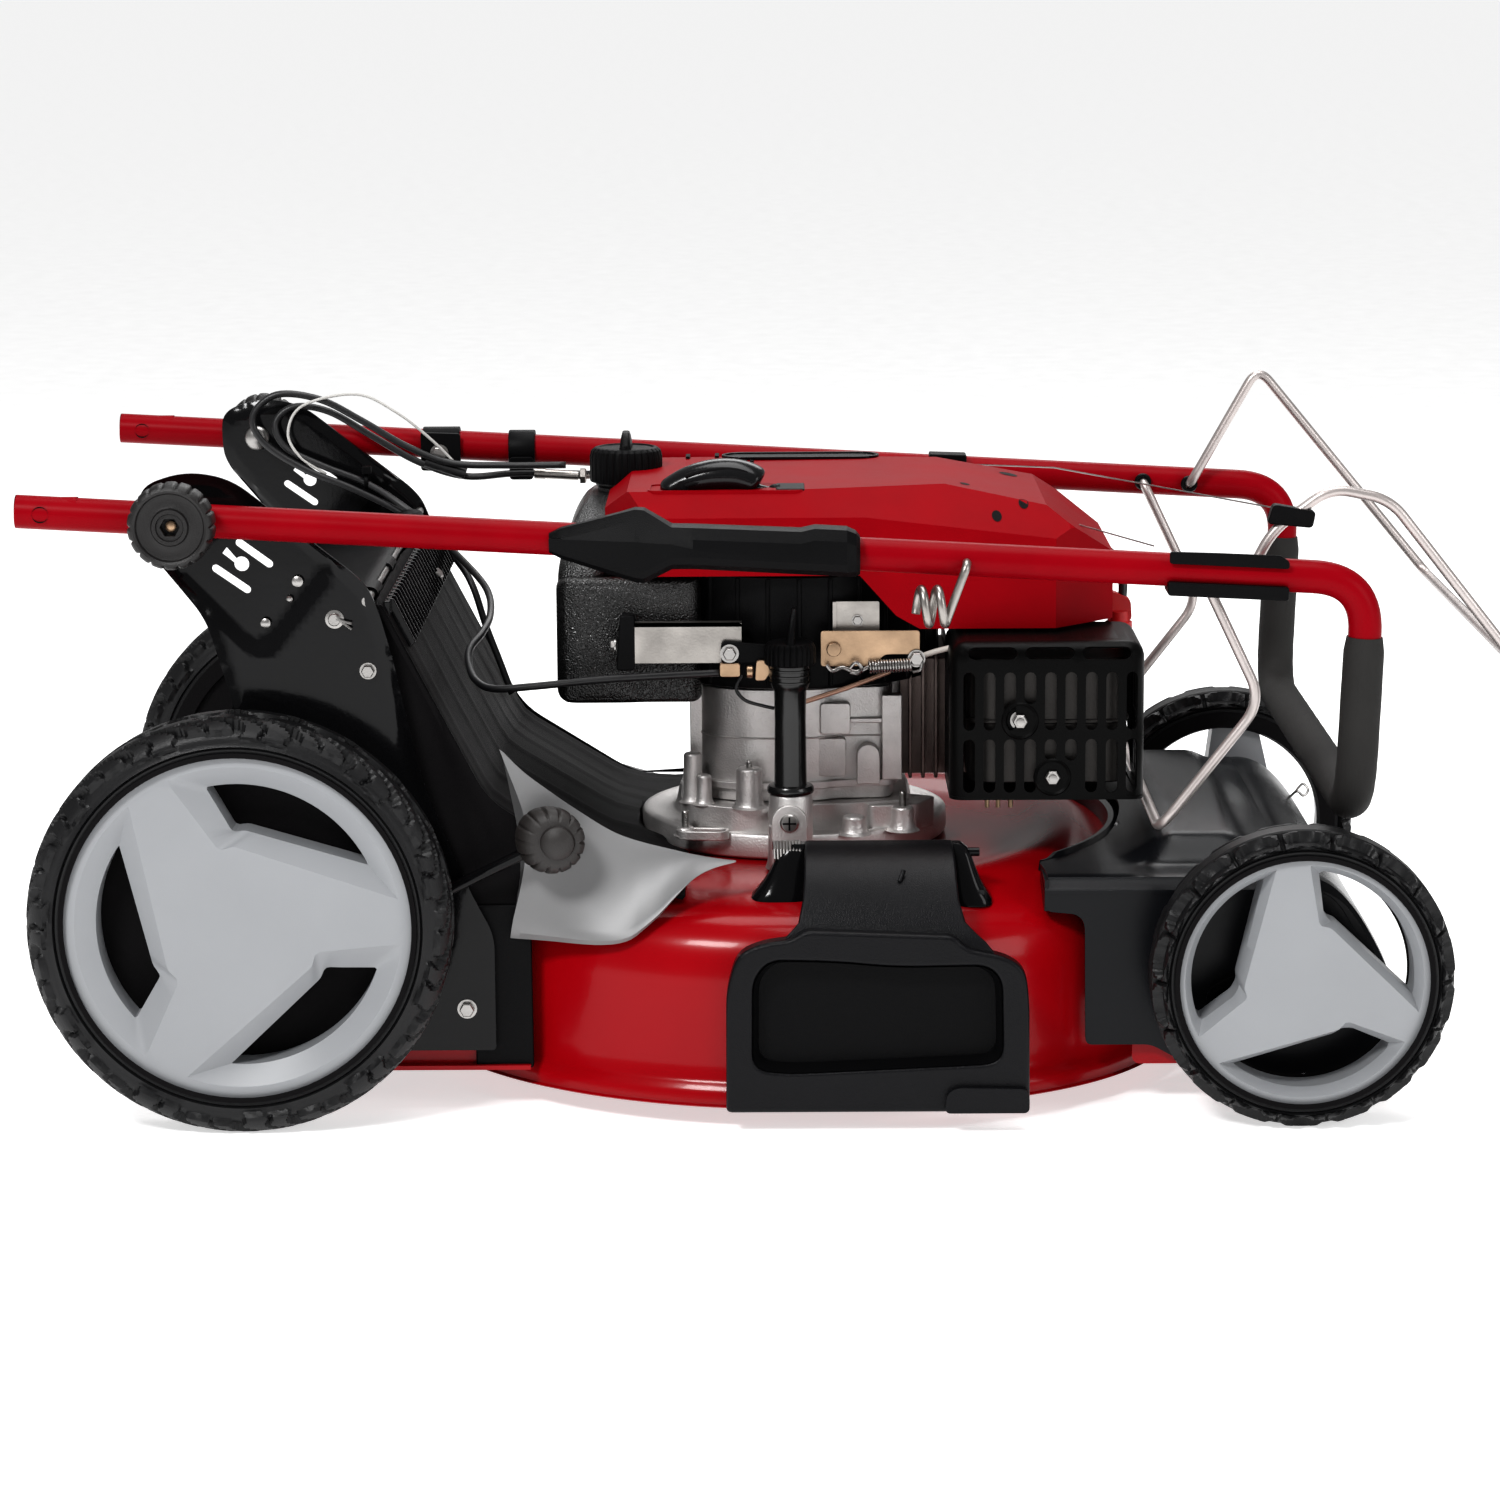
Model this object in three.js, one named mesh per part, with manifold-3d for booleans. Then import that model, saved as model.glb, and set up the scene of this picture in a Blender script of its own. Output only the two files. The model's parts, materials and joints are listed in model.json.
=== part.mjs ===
// Self-propelled petrol lawn mower with its handle folded forward over the engine.
// Millimetres. +X is the mower's front, +Y its left, +Z up; the wheels stand on Z = 0.
// Lengths along X are counted from the rear wheel axis and shifted to the box centre at the end.

import * as THREE from 'three';
import { ConvexGeometry } from 'three/addons/geometries/ConvexGeometry.js';
import { mergeVertices } from 'three/addons/utils/BufferGeometryUtils.js';
import Module from 'manifold-3d';

const wasm = await Module();
wasm.setup();

// ---- driving dimensions ------------------------------------------------------------------

const GAP = 0.3;                    // running gap between neighbouring pieces
const RIGHT = -1;
const LEFT = 1;
const CENTRE_X = 353.83;            // middle of the whole mower, from the rear wheel axis

const WHEELBASE = 699;
const HALF_WIDTH = 281;             // outer faces of the wheels
const WHEEL_WIDTH = 50;
const TYRE_FACETS = 40;             // a flat of the tread, not an edge, stands on the ground
const REAR_WHEEL = { x: 0, z: 140, tyre: 140, rim: 118 };
const FRONT_WHEEL = { x: WHEELBASE, z: 100, tyre: 100, rim: 86 };
const STUB_R = 6;                   // stub axle under each wheel hub

const REAR_PIVOT = { x: 55, z: 115 };            // height-setting axles turn on these lines
const FRONT_PIVOT = { x: WHEELBASE - 47, z: 75 };
const AXLE_R = 8;
const CRANK_Y = [218, 224];         // crank arms, between the side plates and the wheels

const CRANK_X = 366;                // crankshaft and blade axis
const DECK_BOTTOM = 14;
const DECK_TOP = 146;
const DECK_R = 272;                 // half width of the deck
const DECK_FRONT = 274;             // from the crank axis to the front of the blade chamber
const DECK_WALL = 3;
const SIDE_Y = 208;                 // outer face of the deck's straight side plates
const BRACKET_Y = [213.3, 216.3];   // pressed steel handle brackets
const FLAP_PIVOT = { x: 84, z: 347 };

const BLADE_LENGTH = 510;
const SHAFT_R = 12.5;
const ENGINE_PULLEY_R = 25;
const GEARBOX_PULLEY_R = 40;
const GEARBOX_PULLEY_X = 95;
const PULLEY_Z = [62, 76];

const FLANGE_R = 108.5;
const SPLIT_Z = 182;                // joint between sump and crankcase
const BLOCK_TOP = 262;
const HOUSING_R = 103;              // blower housing around the flywheel
const SHROUD_HALF = 112;

const TUBE_R = 11;                  // handle tube
const TUBE_WALL = 1.6;
const TUBE_Y = 232;
const HANDLE_PIVOT = { x: -37, z: 404 };
const HANDLE_SLOPE = -0.0565;       // fall of the folded handle towards the front
const TAIL_X = -142;                // rear ends of the tubes
const LOCK_RADIUS = 88;             // from the pivot to the locking holes
const LOCK_ANGLES = [-30, -38.2, -52.7];
const GRIP_X = 735;
const GRIP_Z = 207;
const FOAM_R = 13.5;
const BAIL_R = 3.5;
const BAIL_Y = 213.5;
const BRAKE_PIVOT_X = 632;
const DRIVE_PIVOT_X = 667;

const BOLT_R = 4;
const BOLT_HOLE_R = 4.5;

// ---- materials ---------------------------------------------------------------------------

const finish = (color, roughness, metalness) =>
  new THREE.MeshStandardMaterial({ color, roughness, metalness });

const RED = finish(0xa30d1c, 0.3, 0.1);
const BLACK_STEEL = finish(0x0c0c0d, 0.25, 0.3);
const BLACK_PLASTIC = finish(0x1a1b1d, 0.5, 0.0);
const TANK_BLACK = finish(0x171718, 0.6, 0.0);
const GREY_PLASTIC = finish(0x9a9c9e, 0.45, 0.0);
const RIM_GREY = finish(0xa7abae, 0.4, 0.0);
const TYRE_BLACK = finish(0x161616, 0.75, 0.0);
const FOAM_BLACK = finish(0x202122, 0.9, 0.0);
const ALUMINIUM = finish(0xa09b98, 0.5, 0.8);
const STEEL = finish(0xb3aba6, 0.35, 0.9);
const ZINC = finish(0xb9b2a4, 0.35, 0.9);
const BRASS_ZINC = finish(0xc9a06a, 0.35, 0.9);
const BOOT_RED = finish(0xc4161c, 0.4, 0.0);
const CABLE_BLACK = finish(0x121213, 0.45, 0.0);
const KNOB_BROWN = finish(0x4b4542, 0.55, 0.0);

// ---- solids ------------------------------------------------------------------------------

// A closed three.js geometry as a solid with its faces pointing out.
function solid(geometry) {
  const bare = geometry.clone();
  bare.deleteAttribute('normal');
  bare.deleteAttribute('uv');
  const merged = mergeVertices(bare, 1e-4);
  const corners = merged.index.array;
  const at = merged.attributes.position;
  const p = [new THREE.Vector3(), new THREE.Vector3(), new THREE.Vector3()];
  const faces = [];
  let volume = 0;
  for (let i = 0; i < corners.length; i += 3) {
    const face = [corners[i], corners[i + 1], corners[i + 2]];
    if (new Set(face).size < 3) continue;
    face.forEach((index, k) => p[k].fromBufferAttribute(at, index));
    volume += p[0].dot(p[1].clone().cross(p[2]));
    faces.push(face);
  }
  const outward = volume > 0 ? faces : faces.map(([a, b, c]) => [a, c, b]);
  return new wasm.Manifold(new wasm.Mesh({
    numProp: 3,
    vertProperties: Float32Array.from(at.array),
    triVerts: Uint32Array.from(outward.flat()),
  }));
}

const join = (first, ...rest) => rest.reduce((sum, next) => sum.add(next), first);
const cut = (first, ...rest) => rest.reduce((sum, next) => sum.subtract(next), first);

function box([x0, x1], [y0, y1], [z0, z1]) {
  const block = new THREE.BoxGeometry(x1 - x0, y1 - y0, z1 - z0);
  block.translate((x0 + x1) / 2, (y0 + y1) / 2, (z0 + z1) / 2);
  return solid(block);
}

// A box given on the right or left side: y is counted outward from the centre plane.
function sideBox(side, xs, [y0, y1], zs) {
  return box(xs, side < 0 ? [-y1, -y0] : [y0, y1], zs);
}

function rod(from, to, radius, sides = 16) {
  const start = new THREE.Vector3(...from);
  const along = new THREE.Vector3(...to).sub(start);
  const bar = new THREE.CylinderGeometry(radius, radius, along.length(), sides);
  bar.translate(0, along.length() / 2, 0);
  const turn = new THREE.Quaternion().setFromUnitVectors(
    new THREE.Vector3(0, 1, 0), along.clone().normalize());
  bar.applyQuaternion(turn);
  bar.translate(start.x, start.y, start.z);
  return solid(bar);
}

const shapeOf = (points) => new THREE.Shape(points.map(([x, y]) => new THREE.Vector2(x, y)));

const outline = (points) => (points instanceof THREE.Shape ? points : shapeOf(points));

const extrude = (shape, depth) =>
  new THREE.ExtrudeGeometry(shape, { depth, bevelEnabled: false, curveSegments: 8 });

// An outline in X and Z, between two values of Y.
function sidePlate(points, [y0, y1]) {
  const body = extrude(outline(points), y1 - y0);
  body.rotateX(Math.PI / 2);
  body.translate(0, y1, 0);
  return solid(body);
}

// An outline in X and Y, between two heights.
function floorPlate(points, [z0, z1]) {
  const body = extrude(outline(points), z1 - z0);
  body.translate(0, 0, z0);
  return solid(body);
}

// An outline in Y and Z, between two values of X.
function crossPlate(points, [x0, x1]) {
  const body = extrude(shapeOf(points), x1 - x0);
  body.applyMatrix4(new THREE.Matrix4().makeBasis(
    new THREE.Vector3(0, 1, 0), new THREE.Vector3(0, 0, 1), new THREE.Vector3(1, 0, 0)));
  body.translate(x0, 0, 0);
  return solid(body);
}

// A profile of [radius, distance along the axis] turned about Y or about an upright axis.
function turned(profile, [x, y, z], axis = 'z', segments = 24, phase = 0) {
  const body = new THREE.LatheGeometry(
    profile.map(([r, h]) => new THREE.Vector2(r, h)), segments, phase * 2 * Math.PI / segments);
  if (axis === 'z') body.rotateX(Math.PI / 2);
  body.translate(x, y, z);
  return solid(body);
}

const ring = (inner, outer, [low, high]) =>
  [[inner, low], [outer, low], [outer, high], [inner, high], [inner, low]];

const disc = (outer, [low, high]) => [[0, low], [outer, low], [outer, high], [0, high]];

function arc(cx, cy, radius, from, to, steps) {
  return Array.from({ length: steps + 1 }, (_, i) => {
    const a = THREE.MathUtils.degToRad(from + (to - from) * i / steps);
    return [cx + radius * Math.cos(a), cy + radius * Math.sin(a)];
  });
}

const capsule = ([x0, z0], [x1, z1], radius) => {
  const lean = THREE.MathUtils.radToDeg(Math.atan2(z1 - z0, x1 - x0));
  return [...arc(x0, z0, radius, lean + 90, lean + 270, 6),
    ...arc(x1, z1, radius, lean - 90, lean + 90, 6)];
};

// A route through straight runs and rounded corners, one station for each listed point.
class Route extends THREE.Curve {
  constructor(points) {
    super();
    this.points = points;
  }

  at(u) {
    return Math.round(u * (this.points.length - 1));
  }

  getPoint(u) {
    return this.points[this.at(u)].clone();
  }

  getPointAt(u) {
    return this.getPoint(u);
  }

  getTangentAt(u) {
    const i = this.at(u);
    const before = this.points[Math.max(i - 1, 0)];
    const after = this.points[Math.min(i + 1, this.points.length - 1)];
    const here = this.points[i];
    const into = here.clone().sub(before).normalize();
    const out = after.clone().sub(here).normalize();
    return into.add(out).normalize();
  }
}

// Rounds each corner of a path with an arc-like bend of the given tangent length.
function rounded(corners, reach, steps = 5) {
  const v = corners.map((c) => new THREE.Vector3(...c));
  const out = [v[0]];
  for (let i = 1; i < v.length - 1; i += 1) {
    const back = v[i - 1].clone().sub(v[i]);
    const ahead = v[i + 1].clone().sub(v[i]);
    const wanted = Array.isArray(reach) ? reach[i - 1] : reach;
    const a = v[i].clone().addScaledVector(back.clone().normalize(),
      Math.min(wanted, back.length() * 0.49));
    const b = v[i].clone().addScaledVector(ahead.clone().normalize(),
      Math.min(wanted, ahead.length() * 0.49));
    out.push(...new THREE.QuadraticBezierCurve3(a, v[i], b).getPoints(steps));
  }
  out.push(v.at(-1));
  return out;
}

function tube(points, radius, sides = 12) {
  const path = new Route(points);
  const section = shapeOf(arc(0, 0, radius, 0, 360 - 360 / sides, sides - 1));
  return solid(new THREE.ExtrudeGeometry(section,
    { steps: points.length - 1, extrudePath: path, bevelEnabled: false }));
}

// ---- scene graph -------------------------------------------------------------------------

const mower = new THREE.Group();
mower.position.x = -CENTRE_X;

function add(name, body, material) {
  const { vertProperties, triVerts } = body.getMesh();
  const geometry = new THREE.BufferGeometry();
  geometry.setAttribute('position', new THREE.BufferAttribute(vertProperties, 3));
  geometry.setIndex(new THREE.BufferAttribute(triVerts, 1));
  geometry.computeVertexNormals();
  const mesh = new THREE.Mesh(geometry, material);
  mesh.name = name;
  mower.add(mesh);
}

// ---- deck --------------------------------------------------------------------------------

// The rounded blade chamber: a circle behind the crank axis, a fuller curve ahead of it.
function chamberOutline(inset) {
  const steps = 36;
  return Array.from({ length: steps }, (_, i) => {
    const a = 2 * Math.PI * i / steps;
    const ahead = Math.cos(a) > 0;
    const power = 2 / (ahead ? 2.4 : 2);
    const reach = (ahead ? DECK_FRONT : DECK_R) - inset;
    const x = Math.sign(Math.cos(a)) * Math.abs(Math.cos(a)) ** power * reach;
    const y = Math.sign(Math.sin(a)) * Math.abs(Math.sin(a)) ** power * (DECK_R - inset);
    return new THREE.Vector3(CRANK_X + x, y, 0);
  });
}

// The chamber's filled outer form, shrunk by `shrink` on every side.
function chamber(shrink, bottom) {
  const levels = [[bottom, 0], [86, 2], [118, 10], [136, 26], [DECK_TOP - shrink, 52]];
  const points = levels.flatMap(([z, inset]) =>
    chamberOutline(inset + shrink).map((p) => p.setZ(z)));
  return solid(new ConvexGeometry(points));
}

const deckOuter = join(
  chamber(0, DECK_BOTTOM),
  box([30, 205], [-SIDE_Y, SIDE_Y], [27, DECK_TOP]),
  box([560, 745], [-SIDE_Y, SIDE_Y], [27, 118]),
);
const deckInner = join(
  chamber(DECK_WALL, 0),
  box([0, 202], [-SIDE_Y + DECK_WALL, SIDE_Y - DECK_WALL], [0, DECK_TOP - DECK_WALL]),
  box([557, 742], [-SIDE_Y + DECK_WALL, SIDE_Y - DECK_WALL], [0, 115]),
);
const through = (pivot, radius) =>
  rod([pivot.x, -HALF_WIDTH, pivot.z], [pivot.x, HALF_WIDTH, pivot.z], radius);
const DISCHARGE = { x: [346, 500], z: [45, 108] };

add('deck_shell', cut(deckOuter, deckInner,
  turned(disc(60, [DECK_TOP - 10, DECK_TOP + 10]), [CRANK_X, 0, 0]),
  box([105, 232], [-150, 150], [DECK_TOP - 10, DECK_TOP + 10]),
  box(DISCHARGE.x, [-HALF_WIDTH, -200], DISCHARGE.z),
  through(REAR_PIVOT, AXLE_R + 0.5),
  through(FRONT_PIVOT, AXLE_R + 0.5)), RED);

// Rear hood: the grass duct from the deck up to the bag opening between the brackets.
const HOOD_Y = 212.3;
const HOOD_WALL = 3;
const hoodOuter = [[92, 346], [161, 212], [237, 165], [290, DECK_TOP + 3], [290, DECK_TOP + GAP],
  [40, DECK_TOP + GAP]];
const hoodInner = [[78, 346], [156, 208], [235, 161], [274, DECK_TOP + 1], [274, 100], [10, 100]];
const hoodSkirt = [[150, DECK_TOP + 2], [181, DECK_TOP + 2], [181, 39], [165, 39], [158, 110]];
add('rear_hood', join(
  cut(sidePlate(hoodOuter, [-HOOD_Y, HOOD_Y]),
    sidePlate(hoodInner, [-HOOD_Y + HOOD_WALL, HOOD_Y - HOOD_WALL]),
    turned(disc(FLANGE_R + 1, [100, 200]), [CRANK_X, 0, 0], 'z', 40)),
  sidePlate(hoodSkirt, [-HOOD_Y, -SIDE_Y - GAP]),
  sidePlate(hoodSkirt, [SIDE_Y + GAP, HOOD_Y])), BLACK_PLASTIC);

// Grey fairings on the deck's rear shoulders, beside the hood.
for (const side of [RIGHT, LEFT]) {
  const hull = (points) => solid(new ConvexGeometry(
    points.map(([x, y, z]) => new THREE.Vector3(x, side * y, z))));
  const rear = hull([[183, 212.8, 118], [183, 217, 118], [237, 219, 118], [237, 212.8, 118],
    [183, 212.8, 243], [183, 215, 243], [237, 216, 203], [237, 212.8, 203]]);
  const front = hull([[236, 212.8, 118], [236, 219, 118], [250, 245, 118], [262, 250, 117],
    [290, 246, 133], [309, 228, 150], [309, 213, 150], [236, 216, 204], [236, 212.8, 204]]);
  add(side < 0 ? 'trim_panel_right' : 'trim_panel_left',
    cut(join(rear, front), chamber(-GAP, 0)), GREY_PLASTIC);
}

// Front cowl over the deck's nose.
const cowlSection = (half, top) => [[-half, 42], [-half, top - 18], [-half + 14, top - 3],
  [-70, top + 8], [70, top + 8], [half - 14, top - 3], [half, top - 18], [half, 42]];
const COWL_Y = 215;
const cowlTop = 166;
const cowlCutOuter = sidePlate([[530, 132], [566, 128], [566, 30], [622, 30], [622, 118.5],
  [752, 118.5], [752, 150], [725, 172], [640, 182], [530, 182]], [-COWL_Y - 1, COWL_Y + 1]);
add('front_cowl', cut(
  crossPlate(cowlSection(COWL_Y, cowlTop), [532, 748]).intersect(cowlCutOuter),
  crossPlate(cowlSection(COWL_Y - 3, cowlTop - 3), [520, 745]),
  box([520, 745], [-COWL_Y + 3, COWL_Y - 3], [0, 60]),
  chamber(-GAP, 0),
  rod([CRANK_X, 0, 100], [CRANK_X, 0, 260], 232, 48)), BLACK_PLASTIC);

// ---- handle brackets ---------------------------------------------------------------------

const bracketOutline = [
  ...arc(HANDLE_PIVOT.x, HANDLE_PIVOT.z, 27, 220, 80, 7),
  [-4, 429], [84, 360], [92, 341], [101, 308], [118, 228], [145, 158], [164, 120], [164, 41],
  [62, 41], [30, 150], [-8, 288], [-22, 337],
];
const lockHoles = LOCK_ANGLES.map((angle) => {
  const a = THREE.MathUtils.degToRad(angle);
  return [HANDLE_PIVOT.x + LOCK_RADIUS * Math.cos(a), HANDLE_PIVOT.z + LOCK_RADIUS * Math.sin(a)];
});

function bracketPlate(side) {
  const depth = side < 0 ? [-BRACKET_Y[1], -BRACKET_Y[0]] : BRACKET_Y;
  const wide = [depth[0] - 5, depth[1] + 5];
  const hole = ([x, z], r) => rod([x, wide[0], z], [x, wide[1], z], r, 12);
  return cut(sidePlate(bracketOutline, depth),
    hole([HANDLE_PIVOT.x, HANDLE_PIVOT.z], BOLT_HOLE_R),
    ...lockHoles.map((at) => hole(at, BOLT_HOLE_R)),
    hole([2, 372], 5),
    sidePlate(capsule([-9, 381], [2, 372], 2.5), wide),
    sidePlate(capsule([1, 386], [20, 372], 2.5), wide),
    sidePlate(capsule([-15, 369], [5, 355], 2.5), wide),
    hole([FLAP_PIVOT.x, FLAP_PIVOT.z], 3.6),
    hole([REAR_PIVOT.x, REAR_PIVOT.z], AXLE_R + 0.5));
}

for (const side of [RIGHT, LEFT]) {
  const tag = side < 0 ? 'right' : 'left';
  add(`handle_bracket_${tag}`, bracketPlate(side), BLACK_STEEL);
  // The bolt's shank starts at the bracket; the knob turns on its outer end.
  const { x, z } = HANDLE_PIVOT;
  const along = (profile) => turned(profile.map(([r, h]) => [r, side * h]), [x, 0, z], 'y', 16);
  add(`pivot_bolt_${tag}`,
    along([[0, 208], [5, 209], [8, 213], [BOLT_R, 213], [BOLT_R, 262], [0, 262]]), STEEL);
  add(`knob_${tag}`, along([[BOLT_R + GAP, 246], [14, 246], [24, 250], [28, 254], [28, 268],
    [25, 273], [14, 270], [0, 270], [0, 263], [BOLT_R + GAP, 263], [BOLT_R + GAP, 246]]),
  BLACK_PLASTIC);
}

// Rear flap over the bag opening, hung between the brackets.
const flapPlate = [[86, 351], [80, 352], [6, 326], [-34, 122], [-31, 121], [8, 322], [80, 345]];
add('rear_flap', join(sidePlate(flapPlate, [-190, 190]),
  rod([FLAP_PIVOT.x, -218, FLAP_PIVOT.z], [FLAP_PIVOT.x, 218, FLAP_PIVOT.z], 3.2, 12),
  rod([FLAP_PIVOT.x, -190, FLAP_PIVOT.z], [FLAP_PIVOT.x, 190, FLAP_PIVOT.z], 5, 12)),
BLACK_PLASTIC);

// ---- side-discharge flap -----------------------------------------------------------------

const SIDE_HINGE = { y: -200, z: 172 };
const flapSkin = [[-200, 180], [-235, 173], [-262, 152], [-278, 126], [-280.5, 118], [-280.5, 16],
  [-276, 16], [-276, 118], [-274, 124], [-259, 148], [-233, 168], [-200, 175]];
const pinAt = (x) => [x, SIDE_HINGE.y, SIDE_HINGE.z];
add('side_flap', cut(
  join(
    crossPlate(flapSkin, [319, 518]).intersect(box([300, 540], [-300, -150], [0, 130])),
    crossPlate(flapSkin, [374, 472]),
    rod(pinAt(374), pinAt(472), 8)),
  rod(pinAt(360), pinAt(480), 3.5, 12),
  box([337, 501], [-290, -278], [40, 117])), BLACK_PLASTIC);

const cheek = (x) => crossPlate([[-216, 146.5], [-216, 160], [-208, 178], [-192, 180],
  [-186, 168], [-186, 146.5]], x);
add('side_flap_hinge', join(
  box([345, 497], [-212, -188], [DECK_TOP + 0.5, DECK_TOP + 4]),
  cheek([349, 370]), cheek([476, 495]),
  rod(pinAt(360), pinAt(480), 3, 12)), BLACK_PLASTIC);

// ---- height-setting axles and wheels -----------------------------------------------------

function axle(pivot, wheel) {
  const parts = [rod([pivot.x, -CRANK_Y[1], pivot.z], [pivot.x, CRANK_Y[1], pivot.z], AXLE_R)];
  for (const side of [RIGHT, LEFT]) {
    const arm = capsule([pivot.x, pivot.z], [wheel.x, wheel.z], 12);
    parts.push(sidePlate(arm, side < 0 ? [-CRANK_Y[1], -CRANK_Y[0]] : CRANK_Y));
    parts.push(rod([wheel.x, side * CRANK_Y[0], wheel.z], [wheel.x, side * 266, wheel.z], STUB_R));
  }
  return join(...parts);
}

const KNOB_AT = [205, -237, 190];
const leverRoute = rounded([[REAR_PIVOT.x, -221.5, REAR_PIVOT.z], [148, -225, 160],
  KNOB_AT], 12, 3);
add('rear_axle', join(axle(REAR_PIVOT, REAR_WHEEL), tube(leverRoute, 4, 8)), BLACK_STEEL);
const knobProfile = [[0, -249], [11, -249], [17, -246], [20, -241], [20, -233], [16, -227],
  [0, -225.5]];
add('height_knob', cut(turned(knobProfile, [KNOB_AT[0], 0, KNOB_AT[2]], 'y', 20),
  tube(leverRoute, 4.5, 8)), KNOB_BROWN);
add('front_axle', axle(FRONT_PIVOT, FRONT_WHEEL), BLACK_STEEL);

function spokedDisc(rim, turn, depth) {
  const face = new THREE.Shape();
  face.absarc(0, 0, rim - 3, 0, Math.PI * 2);
  for (let i = 0; i < 3; i += 1) {
    const from = turn + 120 * i;
    const opening = [...arc(0, 0, rim * 0.8, from + 25, from + 95, 6),
      ...arc(0, 0, rim * 0.4, from + 66, from + 54, 1)];
    face.holes.push(new THREE.Path(opening.map(([x, z]) => new THREE.Vector2(x, z))));
  }
  return sidePlate(face, depth);
}

function addWheel(tag, side, wheel, turn) {
  const half = WHEEL_WIDTH / 2;
  const middle = [wheel.x, side * (HALF_WIDTH - half), wheel.z];
  const band = wheel.tyre - wheel.rim;
  const tread = wheel.tyre / Math.cos(Math.PI / TYRE_FACETS);
  const seat = wheel.rim + 1;
  add(`${tag}_tyre`, turned([[seat, -half + 4], [seat + band * 0.6, -half],
    [tread, -half + 7], [tread, half - 7], [seat + band * 0.6, half],
    [seat, half - 4], [seat, -half + 4]], middle, 'y', TYRE_FACETS, 0.5), TYRE_BLACK);
  const outer = [half - 14, half - 6].map((d) => side * d).sort((a, b) => a - b);
  const hub = [-half + 2, half - 8].map((d) => side * d);
  const disc3 = spokedDisc(wheel.rim, turn, outer).translate(middle);
  add(`${tag}_rim`, cut(
    join(turned(ring(wheel.rim - 6, wheel.rim - GAP, [-half + 6, half - 6]), middle, 'y', 40, 0.5),
      disc3, turned(disc(22, hub), middle, 'y', 20)),
    turned(disc(STUB_R + GAP, [side * (-half - 5), side * (half - 14)]), middle, 'y', 16)),
  RIM_GREY);
}

addWheel('rear_right', RIGHT, REAR_WHEEL, 115);
addWheel('rear_left', LEFT, REAR_WHEEL, 65);
addWheel('front_right', RIGHT, FRONT_WHEEL, 95);
addWheel('front_left', LEFT, FRONT_WHEEL, 85);

// ---- drive -------------------------------------------------------------------------------

const crankAt = [CRANK_X, 0, 0];
add('crankshaft', cut(turned(disc(SHAFT_R, [33, 338]), crankAt, 'z', 20),
  turned(disc(5 + GAP, [20, 62]), crankAt, 'z', 12)), STEEL);
add('engine_pulley', turned(ring(SHAFT_R + GAP, ENGINE_PULLEY_R, PULLEY_Z), crankAt), STEEL);
add('blade_hub', turned(ring(SHAFT_R + GAP, 28, [33, PULLEY_Z[0] - GAP]), crankAt), BLACK_STEEL);
const bladeHalf = BLADE_LENGTH / 2;
const bladeOutline = [[-bladeHalf, -26], [-bladeHalf + 20, -30], [bladeHalf - 70, -30],
  [bladeHalf, -30], [bladeHalf, 26], [bladeHalf - 20, 30], [-bladeHalf, 30]];
add('blade', cut(floorPlate(bladeOutline, [28.4, 32.6]).translate(crankAt),
  turned(disc(5 + GAP, [20, 40]), crankAt, 'z', 12)), STEEL);
add('blade_bolt', turned([[0, 19], [12, 19], [12, 28], [5, 28], [5, 58], [0, 58]], crankAt,
  'z', 12), STEEL);

add('gearbox', cut(box([22, 112], [-40, 40], [84, 136]), through(REAR_PIVOT, AXLE_R + 0.5),
  turned(disc(6.6, [80, 102]), [GEARBOX_PULLEY_X, 0, 0], 'z', 12)), ALUMINIUM);
add('gearbox_pulley', turned([[0, PULLEY_Z[0]], [GEARBOX_PULLEY_R, PULLEY_Z[0]],
  [GEARBOX_PULLEY_R, PULLEY_Z[1]], [6, PULLEY_Z[1]], [6, 100], [0, 100]],
[GEARBOX_PULLEY_X, 0, 0]), STEEL);

// The outline of a belt wrapped on both pulleys at a distance `lift` from their faces.
function beltOutline(lift) {
  const span = CRANK_X - GEARBOX_PULLEY_X;
  const lean = THREE.MathUtils.radToDeg(Math.asin((GEARBOX_PULLEY_R - ENGINE_PULLEY_R) / span));
  return [...arc(CRANK_X, 0, ENGINE_PULLEY_R + lift, lean - 90, 90 - lean, 10),
    ...arc(GEARBOX_PULLEY_X, 0, GEARBOX_PULLEY_R + lift, 90 - lean, 270 + lean, 14)];
}
const BELT_Z = [65, 73];
add('drive_belt', cut(floorPlate(beltOutline(6), BELT_Z),
  floorPlate(beltOutline(0.5), [BELT_Z[0] - 1, BELT_Z[1] + 1])), CABLE_BLACK);

// ---- engine ------------------------------------------------------------------------------

const FILLER = { x: 363, y: -131 };
add('engine_base', cut(join(
  turned(disc(FLANGE_R, [DECK_TOP + GAP, 160]), crankAt, 'z', 40),
  turned(disc(84, [158, SPLIT_Z]), crankAt, 'z', 32),
  turned(disc(15, [DECK_TOP + 4, 199]), [FILLER.x, FILLER.y, 0], 'z', 16),
  box([FILLER.x - 12, FILLER.x + 12], [FILLER.y, -75], [DECK_TOP + 6, 176])),
turned(disc(76, [100, 171]), crankAt, 'z', 32),
turned(disc(SHAFT_R + 0.5, [100, 200]), crankAt, 'z', 20)), ALUMINIUM);

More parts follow.
